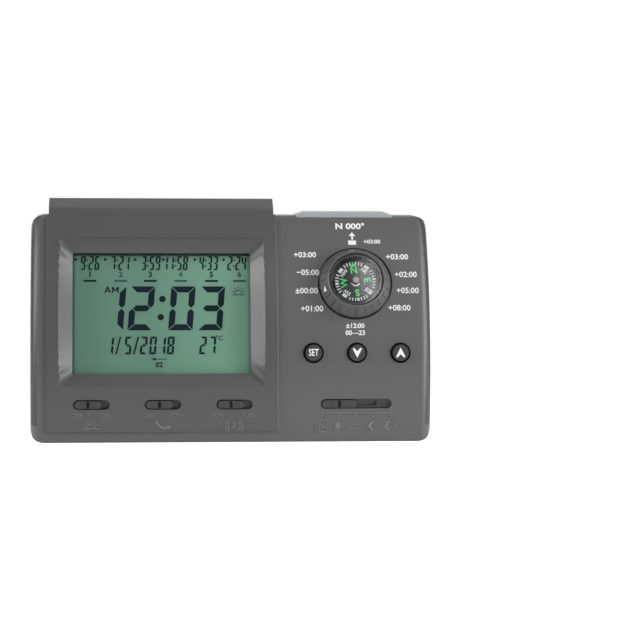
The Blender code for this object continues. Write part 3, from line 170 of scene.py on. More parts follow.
class Finish:
    """A procedural material about one Principled shader"""

    def __init__(self, name, colour, roughness, **constants):
        self.material = bpy.data.materials.new(name)
        self.material.use_nodes = True
        self.tree = self.material.node_tree
        self.shader = self.tree.nodes["Principled BSDF"]
        self.shader.inputs["Base Color"].default_value = (*colour, 1.0)
        self.shader.inputs["Roughness"].default_value = roughness
        for socket, value in constants.items():
            self.shader.inputs[socket.replace("_", " ")].default_value = value
        self.material.diffuse_color = (*colour, 1.0)

    @classmethod
    def about(cls, material):
        """The same helpers over a material that is already made"""
        finish = cls.__new__(cls)
        finish.material, finish.tree = material, material.node_tree
        finish.shader = material.node_tree.nodes["Principled BSDF"]
        return finish

    def node(self, kind, settings=None, inputs=None, output=0):
        """Add a node: its settings first, then the values or links of its sockets"""
        node = self.tree.nodes.new(kind)
        for name, value in (settings or {}).items():
            setattr(node, name, value)
        for name, value in (inputs or {}).items():
            self.feed(node.inputs[name], value)
        return Field(self, node.outputs[output])

    def feed(self, socket, value):
        if isinstance(value, Field):
            self.tree.links.new(value.socket, socket)
        else:
            socket.default_value = value

    def drive(self, socket, value):
        self.feed(self.shader.inputs[socket], value)

    def place(self):
        return self.node("ShaderNodeTexCoord", output="Object")

    def noise(self, scale, detail=2.0, rough=0.5, where=None):
        return self.node("ShaderNodeTexNoise", None,
                         {"Vector": where or self.place(), "Scale": scale, "Detail": detail, "Roughness": rough})

    def axis(self, letter, where=None):
        return self.node("ShaderNodeSeparateXYZ", None, {"Vector": where or self.place()}, letter)

    def blend(self, factor, first, second):
        """Mix two colours by a value"""
        mixed = self.node("ShaderNodeMix", {"data_type": "RGBA"}, {"Factor": factor}, 2)
        node = mixed.socket.node
        self.feed(node.inputs[6], first)
        self.feed(node.inputs[7], second)
        return mixed

    def darken(self, share, colour):
        """Blend what feeds the base colour towards a darker one by a share"""
        base = self.shader.inputs["Base Color"].links[0].from_socket
        self.drive("Base Color", self.blend(share, Field(self, base), colour))

    def bump(self, height, distance, strength=1.0):
        relief = self.node("ShaderNodeBump", None,
                           {"Height": height, "Distance": distance, "Strength": strength})
        self.drive("Normal", relief)


def shade(colour, factor):
    """A colour made lighter or darker by a factor, with alpha"""
    return tuple(min(1.0, part * factor) for part in colour) + (1.0,)


def moulded(name, colour, roughness, grain=0.012 * MM, mottle=0.05, **constants):
    """Moulded plastic: spark-eroded grain, faint cloudiness in colour and sheen"""
    finish = Finish(name, colour, roughness, **constants)
    cloud = finish.noise(38.0, 3.0, 0.6)
    speck = finish.noise(2600.0, 2.0, 0.55)
    finish.drive("Base Color", finish.blend(cloud, shade(colour, 1 - mottle), shade(colour, 1 + mottle)))
    finish.drive("Roughness", roughness - 0.05 + cloud * 0.06 + speck * 0.05)
    finish.bump(speck, grain)
    return finish.material


def depth_shaded_moulding(name, colour, roughness, level, grain=0.012 * MM):
    """Moulded plastic with painted shade: dark where it lies deeper behind the face than a level, standing for the
    shade in pockets, gaps and ribs
    """
    material = moulded(name, colour, roughness, grain)
    finish = Finish.about(material)
    down = finish.axis("Y") - FACE_AXIS_Y
    rise = finish.axis("Z") - FACE_AXIS_Z
    depth = FACE_RADIUS - (down * down + rise * rise).root()
    lowest = 6.5 * MM
    # painted shade: darkens what lies deeper than the level, above 6.5 mm only
    painted_depth_shade = depth.above(level, 0.12 * MM) * finish.axis("Z").above(lowest, 0.5 * MM)
    finish.darken(painted_depth_shade, shade(colour, 0.35))
    return material


def edge_shaded_moulding(name, colour, roughness, height, left, right):
    """Moulded plastic with a painted shade line across it at one height, between two ends, standing for the shade at
    the display recess's top edge
    """
    material = moulded(name, colour, roughness)
    finish = Finish.about(material)
    up, across = finish.axis("Z"), finish.axis("X")
    half, soft = 0.14 * MM, 0.15 * MM
    # painted shade line
    line = up.above(height - half, soft) * (1 - up.above(height + half, soft))
    line = line * across.above(left, soft) * (1 - across.above(right, soft)) * 0.5
    finish.darken(line, shade(colour, 0.25))
    return material


def gap_shaded_cap_moulding(name, place, colour, roughness, grain=0.006 * MM):
    """Moulded push button, dark outside its edge radius round the button's axis: painted shade for the gap round the
    cap
    """
    material = moulded(name, colour, roughness, grain)
    finish = Finish.about(material)
    at, rise = place[:3, 3].tolist(), place[:3, 1].tolist()
    across = finish.axis("X") - at[0]
    up = (finish.axis("Y") - at[1]) * rise[1] + (finish.axis("Z") - at[2]) * rise[2]
    rim = (across * across + up * up).root().above(CAP_EDGE, 0.2 * MM)
    finish.darken(rim, shade(colour, 0.15))
    return material


def printed(name, colour, roughness=0.55, **constants):
    """Screen-printed ink: slightly uneven cover over the grain below"""
    finish = Finish(name, colour, roughness, **constants)
    cover = finish.noise(3800.0, 2.0, 0.5)
    finish.drive("Base Color", finish.blend(cover, shade(colour, 0.93), shade(colour, 1.04)))
    finish.drive("Roughness", roughness - 0.04 + cover * 0.08)
    return finish.material


def plated(name, colour, roughness, scratch=0.0015 * MM):
    """Plated or turned metal with fine streaks along X"""
    finish = Finish(name, colour, roughness, Metallic=1.0)
    streak = finish.node("ShaderNodeMapping", None, {"Vector": finish.place(), "Scale": (60.0, 2400.0, 2400.0)})
    lines = finish.noise(1.0, 2.0, 0.6, streak)
    finish.drive("Roughness", roughness - 0.06 + lines * 0.12)
    finish.drive("Base Color", finish.blend(lines, shade(colour, 0.94), shade(colour, 1.05)))
    finish.bump(lines, scratch)
    return finish.material


def clear_sheet(name, tint, straight_gloss, roughness):
    """Thin clear plastic: light passes straight through, and a share of it is mirrored, which grows from
    the straight gloss towards all of it with the fifth power of the slant"""
    finish = Finish(name, tint, roughness, Metallic=1.0)
    smear = finish.noise(60.0, 2.0, 0.5)
    finish.drive("Roughness", roughness - 0.01 + smear * 0.02)
    output = finish.tree.nodes["Material Output"]
    through = finish.node("ShaderNodeBsdfTransparent", None, {"Color": (0.985, 0.99, 0.985, 1.0)})
    slant = finish.node("ShaderNodeLayerWeight", None, {"Blend": 0.5}, "Facing")
    mirrored = slant.maths("POWER", slant, 5.0) * (1 - straight_gloss) + straight_gloss
    layered = finish.node("ShaderNodeMixShader", None, {"Fac": mirrored.clamp(), 1: through,
                                                        2: Field(finish, finish.shader.outputs[0])})
    finish.tree.links.new(layered.socket, output.inputs["Surface"])
    return finish.material


def lcd_field(name):
    """Display's polariser: grey-green, lighter towards the right as painted light, with a painted shadow line
    along its top and left edges where the recess shades it, and a faint pixel-fine weave"""
    low, high = (0.200, 0.410, 0.290), (0.131, 0.268, 0.203)
    fade_middle, fade_width = -12.0 * MM, 36.0 * MM
    top_shadow, left_shadow = 0.95, 0.7
    finish = Finish(name, low, 0.35)
    across = finish.axis("X")
    up = finish.axis("Z")
    # painted light: the field gets lighter towards the right
    share = across.above(fade_middle, fade_width)
    cloud = finish.noise(30.0, 2.0, 0.5)
    field = finish.blend((share * 0.9 + cloud * 0.1).clamp(), (*high, 1.0), (*low, 1.0))
    # painted shadow of the recess edge along the top and left of the field
    edge_shadow = up.above(SHADOW_FOOT, 0.4 * MM) * top_shadow + (1 - across.above(SHADOW_RIGHT, 0.9 * MM)) * left_shadow
    finish.drive("Base Color", finish.blend(edge_shadow.clamp(), field, shade(low, 0.06)))
    finish.drive("Roughness", 0.30 + cloud * 0.08)
    finish.bump(finish.noise(9000.0, 1.0, 0.5), 0.002 * MM)
    return finish.material


def printed_board(name):
    """Solder mask over faint copper tracks"""
    mask, track = (0.012, 0.075, 0.030), (0.030, 0.150, 0.055)
    finish = Finish(name, mask, 0.35)
    wave = finish.node("ShaderNodeTexWave", {"bands_direction": "DIAGONAL"},
                       {"Vector": finish.place(), "Scale": 160.0, "Distortion": 6.0, "Detail": 1.0,
                        "Detail Scale": 1.0}, "Fac")
    lines = wave.above(0.62, 0.1)
    finish.drive("Base Color", finish.blend(lines, (*mask, 1.0), (*track, 1.0)))
    finish.bump(lines, 0.03 * MM)
    return finish.material


def cell_wrap(name):
    """Cell's shrink sleeve: dark body with a pale band at the nub end of each cell"""
    body, band = (0.020, 0.022, 0.026), (0.42, 0.30, 0.10)
    band_length, edge = 12.0 * MM, 0.1 * MM
    finish = Finish(name, body, 0.28, Coat_Weight=0.4)
    cloud = finish.noise(90.0, 2.0, 0.5)
    first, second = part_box("battery_1"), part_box("battery_2")
    upper = finish.axis("Z").above((first[1].z + second[0].z) / 2, edge)
    across = finish.axis("X")
    at_right = across.above(first[1].x - band_length, edge) * (1 - upper)
    at_left = (1 - across.above(second[0].x + band_length, edge)) * upper
    finish.drive("Base Color", finish.blend((at_right + at_left).clamp(), (*body, 1.0), (*band, 1.0)))
    finish.drive("Roughness", 0.24 + cloud * 0.1)
    return finish.material


casing_satin = moulded("casing_satin", (0.090, 0.090, 0.090), 0.42)
# front casing: painted shade on the pocket floors and the rebate round the strap
front_satin = depth_shaded_moulding("front_satin", (0.090, 0.090, 0.090), 0.42, 0.5 * MM)
# strap: painted shade line along the display recess's top edge
strap_satin = edge_shaded_moulding("strap_satin", (0.070, 0.070, 0.071), 0.40, 75.8 * MM, -63.1 * MM, 11.7 * MM)
ring_satin = moulded("ring_satin", (0.083, 0.083, 0.084), 0.36, 0.008 * MM)
cap_satins = {name: gap_shaded_cap_moulding(name + "_satin", place, (0.040, 0.040, 0.041), 0.34)
              for name, place in BUTTONS.items()}
# slide knobs: painted shadow on their sides and ribs, about 0.23 mm below each knob's top
knob_satin = depth_shaded_moulding("knob_satin", (0.033, 0.033, 0.034), 0.34, -0.92 * MM, 0.006 * MM)
mode_knob_satin = depth_shaded_moulding("mode_knob_satin", (0.037, 0.037, 0.038), 0.34, -0.12 * MM, 0.006 * MM)
bar_satin = moulded("bar_satin", (0.315, 0.345, 0.358), 0.38, 0.008 * MM, 0.03)
cup_gloss = moulded("cup_gloss", (0.010, 0.010, 0.010), 0.22, 0.003 * MM)
card_matt = moulded("card_matt", (0.008, 0.008, 0.009), 0.55, 0.004 * MM)
jewel_grey = moulded("jewel_grey", (0.26, 0.25, 0.245), 0.40, 0.002 * MM)
# legends: painted highlight, lighter than the casing
legend_highlight_satin = moulded("legend_highlight_satin", (0.150, 0.150, 0.149), 0.36, 0.010 * MM, 0.10)
# side beads: painted highlight along the strap's edges
bead_highlight_satin = moulded("bead_highlight_satin", (0.165, 0.165, 0.163), 0.38, 0.006 * MM)
# painted shade for the knob notches
notch_shade_black = moulded("notch_shade_black", (0.008, 0.008, 0.008), 0.7, 0.006 * MM, Specular_IOR_Level=0.1)
shield_matt = moulded("shield_matt", (0.085, 0.085, 0.085), 0.5)
inner_white = moulded("inner_white", (0.62, 0.62, 0.58), 0.5)
inner_black = moulded("inner_black", (0.018, 0.018, 0.018), 0.5)
strip_rubber = moulded("strip_rubber", (0.06, 0.055, 0.055), 0.8, 0.02 * MM)
ink_white = printed("ink_white", (0.81, 0.81, 0.80))
ink_green = printed("ink_green", (0.055, 0.72, 0.17), 0.5)
ink_lcd = printed("ink_lcd", (0.004, 0.013, 0.021), 0.5, Specular_IOR_Level=0.1)
ink_lcd_faint = printed("ink_lcd_faint", (0.040, 0.100, 0.110), 0.5, Specular_IOR_Level=0.1)
window_clear = clear_sheet("window_clear", (0.96, 0.96, 0.96), 0.015, 0.05)
dome_clear = clear_sheet("dome_clear", (0.97, 0.97, 0.97), 0.026, 0.19)
lcd_green = lcd_field("lcd_green")
board_green = printed_board("board_green")
cell_sleeve = cell_wrap("cell_sleeve")
steel_bright = plated("steel_bright", (0.56, 0.56, 0.55), 0.32)
spring_nickel = plated("spring_nickel", (0.66, 0.64, 0.60), 0.25)
cone_paper = moulded("cone_paper", (0.020, 0.020, 0.021), 0.75, 0.03 * MM)


# Pieces
def new_piece(name, points, faces, material, body, slot):
    """Flat-shaded piece from points and faces, on its body; the slot is not used"""
    mesh = bpy.data.meshes.new(name)
    mesh.from_pydata(points, [], faces)
    mesh.validate()
    mesh.polygons.foreach_set("use_smooth", np.zeros(len(mesh.polygons), bool))
    mesh.materials.append(material)
    piece = bpy.data.objects.new(name, mesh)
    bpy.context.scene.collection.objects.link(piece)
    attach(piece, body)


def corner_normals(points, triangles, crease=CREASE):
    """Each corner's normal: the area-weighted mean of the faces round its point that lie within
    the crease angle of its own face"""
    edges = points[triangles[:, 1:]] - points[triangles[:, :1]]
    doubled = np.cross(edges[:, 0], edges[:, 1])
    unit = doubled / np.maximum(np.linalg.norm(doubled, axis=1, keepdims=True), 1e-20)
    vertex = triangles.ravel()
    face = np.repeat(np.arange(len(triangles)), 3)
    order = np.argsort(vertex, kind="stable")
    counts = np.bincount(vertex, minlength=len(points))
    starts = np.cumsum(counts) - counts
    partners = counts[vertex[order]]
    first = np.repeat(order, partners)
    within = np.arange(partners.sum()) - np.repeat(np.cumsum(partners) - partners, partners)
    second = order[np.repeat(starts[vertex[order]], partners) + within]
    near = (unit[face[first]] * unit[face[second]]).sum(1) > cos(crease)
    total = np.zeros((len(vertex), 3))
    np.add.at(total, first[near], doubled[face[second[near]]])
    return total / np.maximum(np.linalg.norm(total, axis=1, keepdims=True), 1e-20), unit[face]


def follow_arcs(points, triangles, normals, own, radii):
    """Corners that lie on one of the face's arcs take the arc's own radial direction"""
    corner = points[triangles.ravel()]
    offset = corner[:, 1:] - np.array((FACE_AXIS_Y, FACE_AXIS_Z))
    reach = np.linalg.norm(offset, axis=1)
    radial = np.column_stack((np.zeros(len(corner)), offset / reach[:, None]))
    on_arc = np.zeros(len(corner), bool)
    for radius in radii:
        on_arc |= np.abs(reach - radius) < 0.05 * MM
    on_arc &= (own * radial).sum(1) > cos(radians(20))
    normals[on_arc] = radial[on_arc]
    return normals


def follow_dome(points, triangles, normals, own):
    """Corners on the dome's two curved faces take the direction from the middle of its sphere, whose
    radius is (rim radius squared + rise squared) / (2 rise)"""
    local = (points[triangles.ravel()] - SELECTOR[:3, 3]) @ SELECTOR[:3, :3]
    rim = np.hypot(local[:, 0], local[:, 1]).max()
    local[:, 2] += (rim ** 2 + DOME_RISE ** 2) / (2 * DOME_RISE) - local[:, 2].max()
    away = local / np.linalg.norm(local, axis=1, keepdims=True) @ SELECTOR[:3, :3].T
    facing = (own * away).sum(1)
    curved = np.abs(facing) > cos(radians(20))
    normals[curved] = (away * np.sign(facing)[:, None])[curved]
    return normals


def skin(node, material, arcs=()):
    """Stand-in for a CAD node: its loose triangles joined at their points, with rounded shading"""
    source = frame["nodes"][node]
    work = bmesh.new()
    work.from_mesh(source.data)
    bmesh.ops.remove_doubles(work, verts=work.verts, dist=0.001 * MM)
    mesh = bpy.data.meshes.new(node + "_skin")
    work.to_mesh(mesh)
    work.free()
    for layer in [layer for layer in mesh.attributes if layer.name == "custom_normal"]:
        mesh.attributes.remove(layer)
    points = np.empty(len(mesh.vertices) * 3)
    mesh.vertices.foreach_get("co", points)
    points = points.reshape(-1, 3)
    corners = np.empty(len(mesh.loops), np.int64)
    mesh.loops.foreach_get("vertex_index", corners)
    triangles = corners.reshape(-1, 3)
    normals, own = corner_normals(points, triangles)
    if arcs:
        normals = follow_arcs(points, triangles, normals, own, arcs)
    if node == "compass_dome":
        normals = follow_dome(points, triangles, normals, own)
    mesh.polygons.foreach_set("use_smooth", np.ones(len(mesh.polygons), bool))
    mesh.normals_split_custom_set(normals.tolist())
    mesh.materials.clear()
    mesh.materials.append(material)
    piece = bpy.data.objects.new(node + "_skin", mesh)
    bpy.context.scene.collection.objects.link(piece)
    body = source["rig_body"]
    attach(piece, body)
    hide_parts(node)


def dress(node, material):
    """Give a CAD node that keeps its own mesh its material"""
    mesh = frame["nodes"][node].data
    mesh.materials.clear()
    mesh.materials.append(material)


CASE_ARCS = (FACE_RADIUS, FACE_RADIUS - 1.2 * MM)
STRAP_ARCS = (FACE_RADIUS + STRAP_PROUD,)
SKINS = (
    ("front_case", front_satin, CASE_ARCS), ("rear_case", casing_satin, ()),
    ("display_surround", strap_satin, STRAP_ARCS), ("top_hood", strap_satin, ()),
    ("selector_ring", ring_satin, ()), ("compass_cup", cup_gloss, ()), ("compass_card", card_matt, ()),
    ("compass_dome", dome_clear, ()), ("compass_pivot", steel_bright, ()), ("display_window", window_clear, ()),
    ("set_button", cap_satins["set"], ()), ("down_button", cap_satins["down"], ()),
    ("up_button", cap_satins["up"], ()),
    ("alarm_slide_knob", knob_satin, ()), ("call_slide_knob", knob_satin, ()),
    ("snooze_slide_knob", knob_satin, ()), ("mode_slide_knob", mode_knob_satin, ()),
    ("snooze_light_button", bar_satin, ()), ("battery_door", casing_satin, ()),
    ("battery_1", cell_sleeve, ()), ("battery_2", cell_sleeve, ()),
    ("case_screw_1", steel_bright, ()), ("case_screw_2", steel_bright, ()),
    ("case_screw_3", steel_bright, ()), ("case_screw_4", steel_bright, ()),
    ("contact_spring_1", spring_nickel, ()), ("contact_spring_2", spring_nickel, ()),
    ("speaker_cone", cone_paper, ()), ("speaker_frame", steel_bright, ()), ("speaker_magnet", steel_bright, ()),
)
for node, material, arcs in SKINS:
    skin(node, material, arcs)

INNER_FINISHES = {
    lcd_green: ("lcd_glass",),
    inner_white: ("backlight_panel", "lcd_holder", "selector_rotor", "alarm_slide_lever", "call_slide_lever",
                  "snooze_slide_lever", "mode_slide_lever", "set_plunger", "down_plunger", "up_plunger",
                  "snooze_plunger"),
    inner_black: ("controller_chip", "set_switch", "down_switch", "up_switch", "snooze_switch",
                  "mode_slide_switch"),
    board_green: ("main_board", "selector_board", "key_board", "slide_board"),
    strip_rubber: ("contact_strip",),
    steel_bright: ("alarm_slide_switch", "call_slide_switch", "snooze_slide_switch", "contact_bridge",
                   "contact_positive", "contact_negative"),
}
for material, nodes in INNER_FINISHES.items():
    for node in nodes:
        dress(node, material)


# Flat marks
def slabs(outlines, low, high):
    """Closed slabs from flat outlines: each outline's points at two levels, joined by side faces"""
    points, faces, start = [], [], 0
    for outline in outlines:
        flat = np.asarray(outline, float)
        count = len(flat)
        area = (flat[:, 0] * np.roll(flat[:, 1], -1) - np.roll(flat[:, 0], -1) * flat[:, 1]).sum()
        if area < 0:
            flat = flat[::-1]
        points.append(np.column_stack((flat, np.full(count, low))))
        points.append(np.column_stack((flat, np.full(count, high))))
        ids = np.arange(count)
        after = np.roll(ids, -1)
        faces.append((start + ids[::-1]).tolist())
        faces.append((start + count + ids).tolist())
        faces += np.column_stack((start + ids, start + after, start + count + after, start + count + ids)).tolist()
        start += 2 * count
    return np.vstack(points), faces


def stroke(path, width, closed=False):
    """Outlines of a line of even width: one four-sided cell for each step of the path"""
    path = np.asarray(path, float)
    if closed:
        path = np.vstack((path, path[:1]))
    run = np.diff(path, axis=0)
    run /= np.linalg.norm(run, axis=1, keepdims=True)
    side = np.column_stack((-run[:, 1], run[:, 0]))
    at_points = np.vstack((side[:1], side[:-1] + side[1:], side[-1:]))
    if closed:
        at_points[0] = at_points[-1] = side[0] + side[-1]
    at_points /= np.linalg.norm(at_points, axis=1, keepdims=True)
    left, right = path + at_points * width / 2, path - at_points * width / 2
    return np.vstack((left, right[::-1]))


def arc(radius, start, end, steps=12, centre=(0, 0)):
    """Points round part of a circle, angles in degrees"""
    angle = np.radians(np.linspace(start, end, steps + 1))
    return np.column_stack((centre[0] + radius * np.cos(angle), centre[1] + radius * np.sin(angle)))


def disc(radius, centre=(0, 0), steps=16):
    return arc(radius, 0, 360, steps, centre)[:-1]


def moved(outline, across=0.0, up=0.0, turn=0.0, scale=1.0):
    """An outline scaled, turned about its own zero and shifted"""
    flat = np.asarray(outline, float) * scale
    spin = np.array(((cos(turn), -sin(turn)), (sin(turn), cos(turn))))
    return flat @ spin.T + np.array((across, up))


def lettering(words, size, low, high, weight=0.0, align="CENTER", stretch=1.0):
    """Solid letters from the built-in font, as points and faces in their own plane"""
    curve = bpy.data.curves.new("letters", "FONT")
    curve.body = words
    curve.size = size
    curve.align_x = align
    curve.align_y = "CENTER"
    curve.offset = weight
    curve.resolution_u = 3
    curve.extrude = (high - low) / 2
    maker = bpy.data.objects.new("letters", curve)
    bpy.context.scene.collection.objects.link(maker)
    bpy.context.view_layer.update()
    mesh = bpy.data.meshes.new_from_object(maker.evaluated_get(bpy.context.evaluated_depsgraph_get()))
    work = bmesh.new()
    work.from_mesh(mesh)
    bmesh.ops.remove_doubles(work, verts=work.verts, dist=0.001 * MM)
    bmesh.ops.recalc_face_normals(work, faces=work.faces)
    work.to_mesh(mesh)
    work.free()
    points = np.empty(len(mesh.vertices) * 3)
    mesh.vertices.foreach_get("co", points)
    points = points.reshape(-1, 3)
    points[:, 0] *= stretch
    points[:, 2] += (high + low) / 2
    faces = [tuple(face.vertices) for face in mesh.polygons]
    bpy.data.objects.remove(maker, do_unlink=True)
    bpy.data.meshes.remove(mesh)
    return points, faces


class Marks:
    """Gathers solid marks of one ink and makes them one piece"""

    def __init__(self):
        self.points, self.faces, self.count = [], [], 0

    def add(self, solid, put=None):
        points, faces = solid
        self.points.append(put(points) if put else points)
        self.faces += [[index + self.count for index in face] for face in faces]
        self.count += len(points)

    def finish(self, name, material, body, slot):
        new_piece(name, np.vstack(self.points), self.faces, material, body, slot)


def shifted(points_faces, across=0.0, up=0.0, turn=0.0):
    """A solid's points turned in its plane and shifted"""
    points, faces = points_faces
    flat = moved(points[:, :2], across, up, turn)
    return np.column_stack((flat, points[:, 2])), faces


# Seven-bar digits
BARS = {"0": "abcdef", "1": "bc", "2": "abged", "3": "abgcd", "4": "fgbc", "5": "afgcd", "6": "afgedc",
        "7": "abc", "8": "abcdefg", "9": "abcdfg"}
SLANT = 0.08


def bar_outlines(width, height, bar, gap):
    """The seven bars of a digit as flat outlines, mitred where they meet"""
    middle, cut = height / 2, gap / sqrt(2)
    half = bar / 2
    return {
        "a": ((cut, height), (width - cut, height), (width - bar - cut, height - bar), (bar + cut, height - bar)),
        "d": ((cut, 0), (width - cut, 0), (width - bar - cut, bar), (bar + cut, bar)),
        "f": ((0, height - cut), (bar, height - bar - cut), (bar, middle + half + cut), (half, middle + cut),
              (0, middle + half + cut)),
        "b": ((width, height - cut), (width - bar, height - bar - cut), (width - bar, middle + half + cut),
              (width - half, middle + cut), (width, middle + half + cut)),
        "e": ((0, cut), (bar, bar + cut), (bar, middle - half - cut), (half, middle - cut),
              (0, middle - half - cut)),
        "c": ((width, cut), (width - bar, bar + cut), (width - bar, middle - half - cut),
              (width - half, middle - cut), (width, middle - half - cut)),
        "g": ((half + cut, middle), (bar + cut, middle + half), (width - bar - cut, middle + half),
              (width - half - cut, middle), (width - bar - cut, middle - half), (bar + cut, middle - half)),
    }


def slanted(outline, across, up):
    flat = np.asarray(outline, float)
    return np.column_stack((flat[:, 0] + SLANT * flat[:, 1] + across, flat[:, 1] + up))


def digit_row(text, left, foot, width, height, bar, gap, pitch, colon_room):
    """Outlines of a row of digits; a colon takes less room"""
    shapes, outlines = bar_outlines(width, height, bar, gap), []
    for sign in text:
        if sign in BARS:
            outlines += [slanted(shapes[name], left, foot) for name in BARS[sign]]
            left += pitch
        elif sign == ":":
            for share in (0.30, 0.70):
                middle = colon_room / 2 - (pitch - width) / 2
                dot = disc(bar * 0.52, (middle, share * height), 12)
                outlines.append(slanted(dot, left, foot))
            left += colon_room
    return outlines


LCD_LOW, LCD_HIGH = 0.02 * MM, 0.07 * MM
lcd_plane = on_plane(DISPLAY, (0, 0, -LCD_DEPTH))


def rectangle(half_across, half_up):
    """Outline of a rectangle about zero"""
    return ((-half_across, -half_up), (half_across, -half_up), (half_across, half_up), (-half_across, half_up))


def make_display_marks():
    dark, faint = Marks(), Marks()
    big = dict(width=9.1 * MM, height=16.8 * MM, bar=2.3 * MM, gap=0.28 * MM, pitch=11.0 * MM, colon_room=0.0)
    rows = []
    for sign, left in (("1", -23.6), ("2", -12.8), ("0", 2.4), ("3", 13.5)):
        rows += digit_row(sign, left * MM, -6.0 * MM, **big)
    for across, up in ((0.3, 5.95), (-0.35, -1.0)):
        rows.append(disc(1.22 * MM, (across * MM, up * MM), 20))
    small = dict(width=1.8 * MM, height=5.35 * MM, bar=0.64 * MM, gap=0.1 * MM, pitch=2.25 * MM,
                 colon_room=0.75 * MM)
    for text, left in (("9:26", -30.5), ("7:21", -19.3), ("3:59", -7.7), ("11:58", 0.4), ("4:33", 14.0),
                       ("2:24", 24.7)):
        rows += digit_row(text, left * MM, 17.05 * MM, **small)
    date = dict(width=2.55 * MM, height=6.75 * MM, bar=0.82 * MM, gap=0.12 * MM, pitch=3.5 * MM, colon_room=0.0)
    for text, left in (("1", -20.8), ("5", -14.1), ("2", -8.3), ("0", -4.8), ("1", -1.4), ("8", 1.8),
                       ("27", 13.9)):
        rows += digit_row(text, left * MM, -15.15 * MM, **date)
    foot, top = -15.1, -8.45
    for left in (-17.4, -10.75):
        rows.append(np.array(((left, foot), (left + 0.6, foot), (left + 2.3, top), (left + 1.7, top))) * MM)
    dark.add(slabs(rows, LCD_LOW, LCD_HIGH), lcd_plane)
    letter_a = [stroke(((-1.05, -1.15), (0.0, 1.15)), 0.5), stroke(((0.0, 1.15), (1.05, -1.15)), 0.5),
                stroke(((-0.7, -0.45), (0.7, -0.45)), 0.4)]
    letter_m = [stroke(((side * 1.0, -1.15), (side * 1.0, 1.15)), 0.5) for side in (-1, 1)]
    letter_m += [stroke(((side * 0.95, 1.05), (0.0, -0.45)), 0.45) for side in (-1, 1)]
    letters = [moved(part, -20.2, 9.45) for part in letter_a] + [moved(part, -17.35, 9.45) for part in letter_m]
    dark.add(slabs([part * MM for part in letters], LCD_LOW, LCD_HIGH), lcd_plane)
    dark.add(shifted(lettering("°C", 2.6 * MM, LCD_LOW, LCD_HIGH, 0.03 * MM), 21.5 * MM, -9.1 * MM), lcd_plane)
    dark.add(shifted(lettering("02", 2.7 * MM, LCD_LOW, LCD_HIGH, 0.08 * MM), -1.0 * MM, -19.2 * MM), lcd_plane)
    for number, middle in enumerate((-26.8, -15.3, -4.2, 7.2, 18.8, 29.3)):
        ink = faint if number % 2 else dark
        bar = moved(rectangle(2.4, 0.38), middle, 12.9)
        ink.add(slabs([bar * MM], LCD_LOW, LCD_HIGH), lcd_plane)
        ink.add(shifted(lettering(str(number + 1), 2.9 * MM, LCD_LOW, LCD_HIGH, 0.09 * MM), middle * MM,
                        15.3 * MM), lcd_plane)
    signs = [((left, 20.4), (left + 1.2, 21.1), (left, 21.8)) for left in (-32.6, -21.5, -10.3, 0.3, 12.2, 23.0)]
    for index in range(7):
        side = 0.42 if index == 1 else 0.22
        signs.append(moved(rectangle(side, side), -3.6 + index * 0.85, -17.0))
    dark.add(slabs([np.asarray(sign) * MM for sign in signs], LCD_LOW, LCD_HIGH), lcd_plane)
    middle, horizon = 28.9, 8.1
    sun = [stroke(arc(1.25, 0, 180, 12, (middle, horizon)), 0.35),
           ((26.7, 7.4), (31.1, 7.4), (31.1, 7.75), (26.7, 7.75))]
    for angle in (20, 55, 90, 125, 160):
        ray = np.radians(angle)
        ends = [(middle + reach * cos(ray), horizon + reach * sin(ray)) for reach in (1.75, 2.6)]
        sun.append(stroke(ends, 0.3))
    faint.add(slabs([np.asarray(part) * MM for part in sun], LCD_LOW, LCD_HIGH), lcd_plane)
    dark.finish("display_segments", ink_lcd, "casing", "card_black")
    faint.finish("display_faint_mark", ink_lcd_faint, "casing", "card_black")


make_display_marks()

# White print on the face
PRINT_LOW, PRINT_HIGH = -0.02 * MM, 0.03 * MM
DIAL_SIZE = 3.05 * MM


def face_words(marks, words, across, height, size, align="CENTER", weight=0.055 * MM, stretch=1.0):
    marks.add(lettering(words, size, PRINT_LOW, PRINT_HIGH, weight, align, stretch),
              on_face(across * MM, height * MM))


def make_dial_print():
    white = Marks()
    face_words(white, "N 000°", 45.3, 80.25, 3.5 * MM, weight=0.10 * MM, stretch=1.1)
    arrow = [((-0.32, -1.5), (0.32, -1.5), (0.32, 0.2), (-0.32, 0.2)), ((-1.25, 0.0), (1.25, 0.0), (0.0, 1.55))]
    white.add(slabs([np.asarray(part) * MM for part in arrow], PRINT_LOW, PRINT_HIGH),
              on_face(45.95 * MM, 76.75 * MM))
    white.add(slabs([np.asarray(rectangle(1.5, 0.9)) * MM], PRINT_LOW, PRINT_HIGH),
              on_face(45.85 * MM, 74.3 * MM))
    left = (("+03:00", 32.0, 69.7), ("−05:00", 32.9, 63.2), ("±00:00", 32.3, 56.5), ("+01:00", 34.2, 49.9))
    right = (("+03:00", 58.4, 69.0), ("+02:00", 61.4, 62.5), ("+05:00", 61.9, 56.6), ("+08:00", 58.6, 50.2))
    for words, across, height in left:
        face_words(white, words, across, height, DIAL_SIZE, "RIGHT")
    for words, across, height in right:
        face_words(white, words, across, height, DIAL_SIZE, "LEFT")
    face_words(white, "+03:00", 53.4, 74.6, 2.3 * MM)
    face_words(white, "±12:00", 46.1, 43.6, 2.5 * MM)
    face_words(white, "00—23", 46.1, 41.0, 2.5 * MM)
    white.finish("dial_print", ink_white, "casing", "white_plastic")


make_dial_print()


# Beads in the joint between the strap and the casing: the side beads are lighter, a painted highlight on the strap's
# edges
BEAD_FOOT = 1.1 * MM
JOINT_LEFT, JOINT_RIGHT, JOINT_BOTTOM, JOINT_TOP = -69.3 * MM, 17.0 * MM, 3.9 * MM, 83.9 * MM
JOINT_WIDTH, JOINT_SPARE = 0.3 * MM, 0.01 * MM


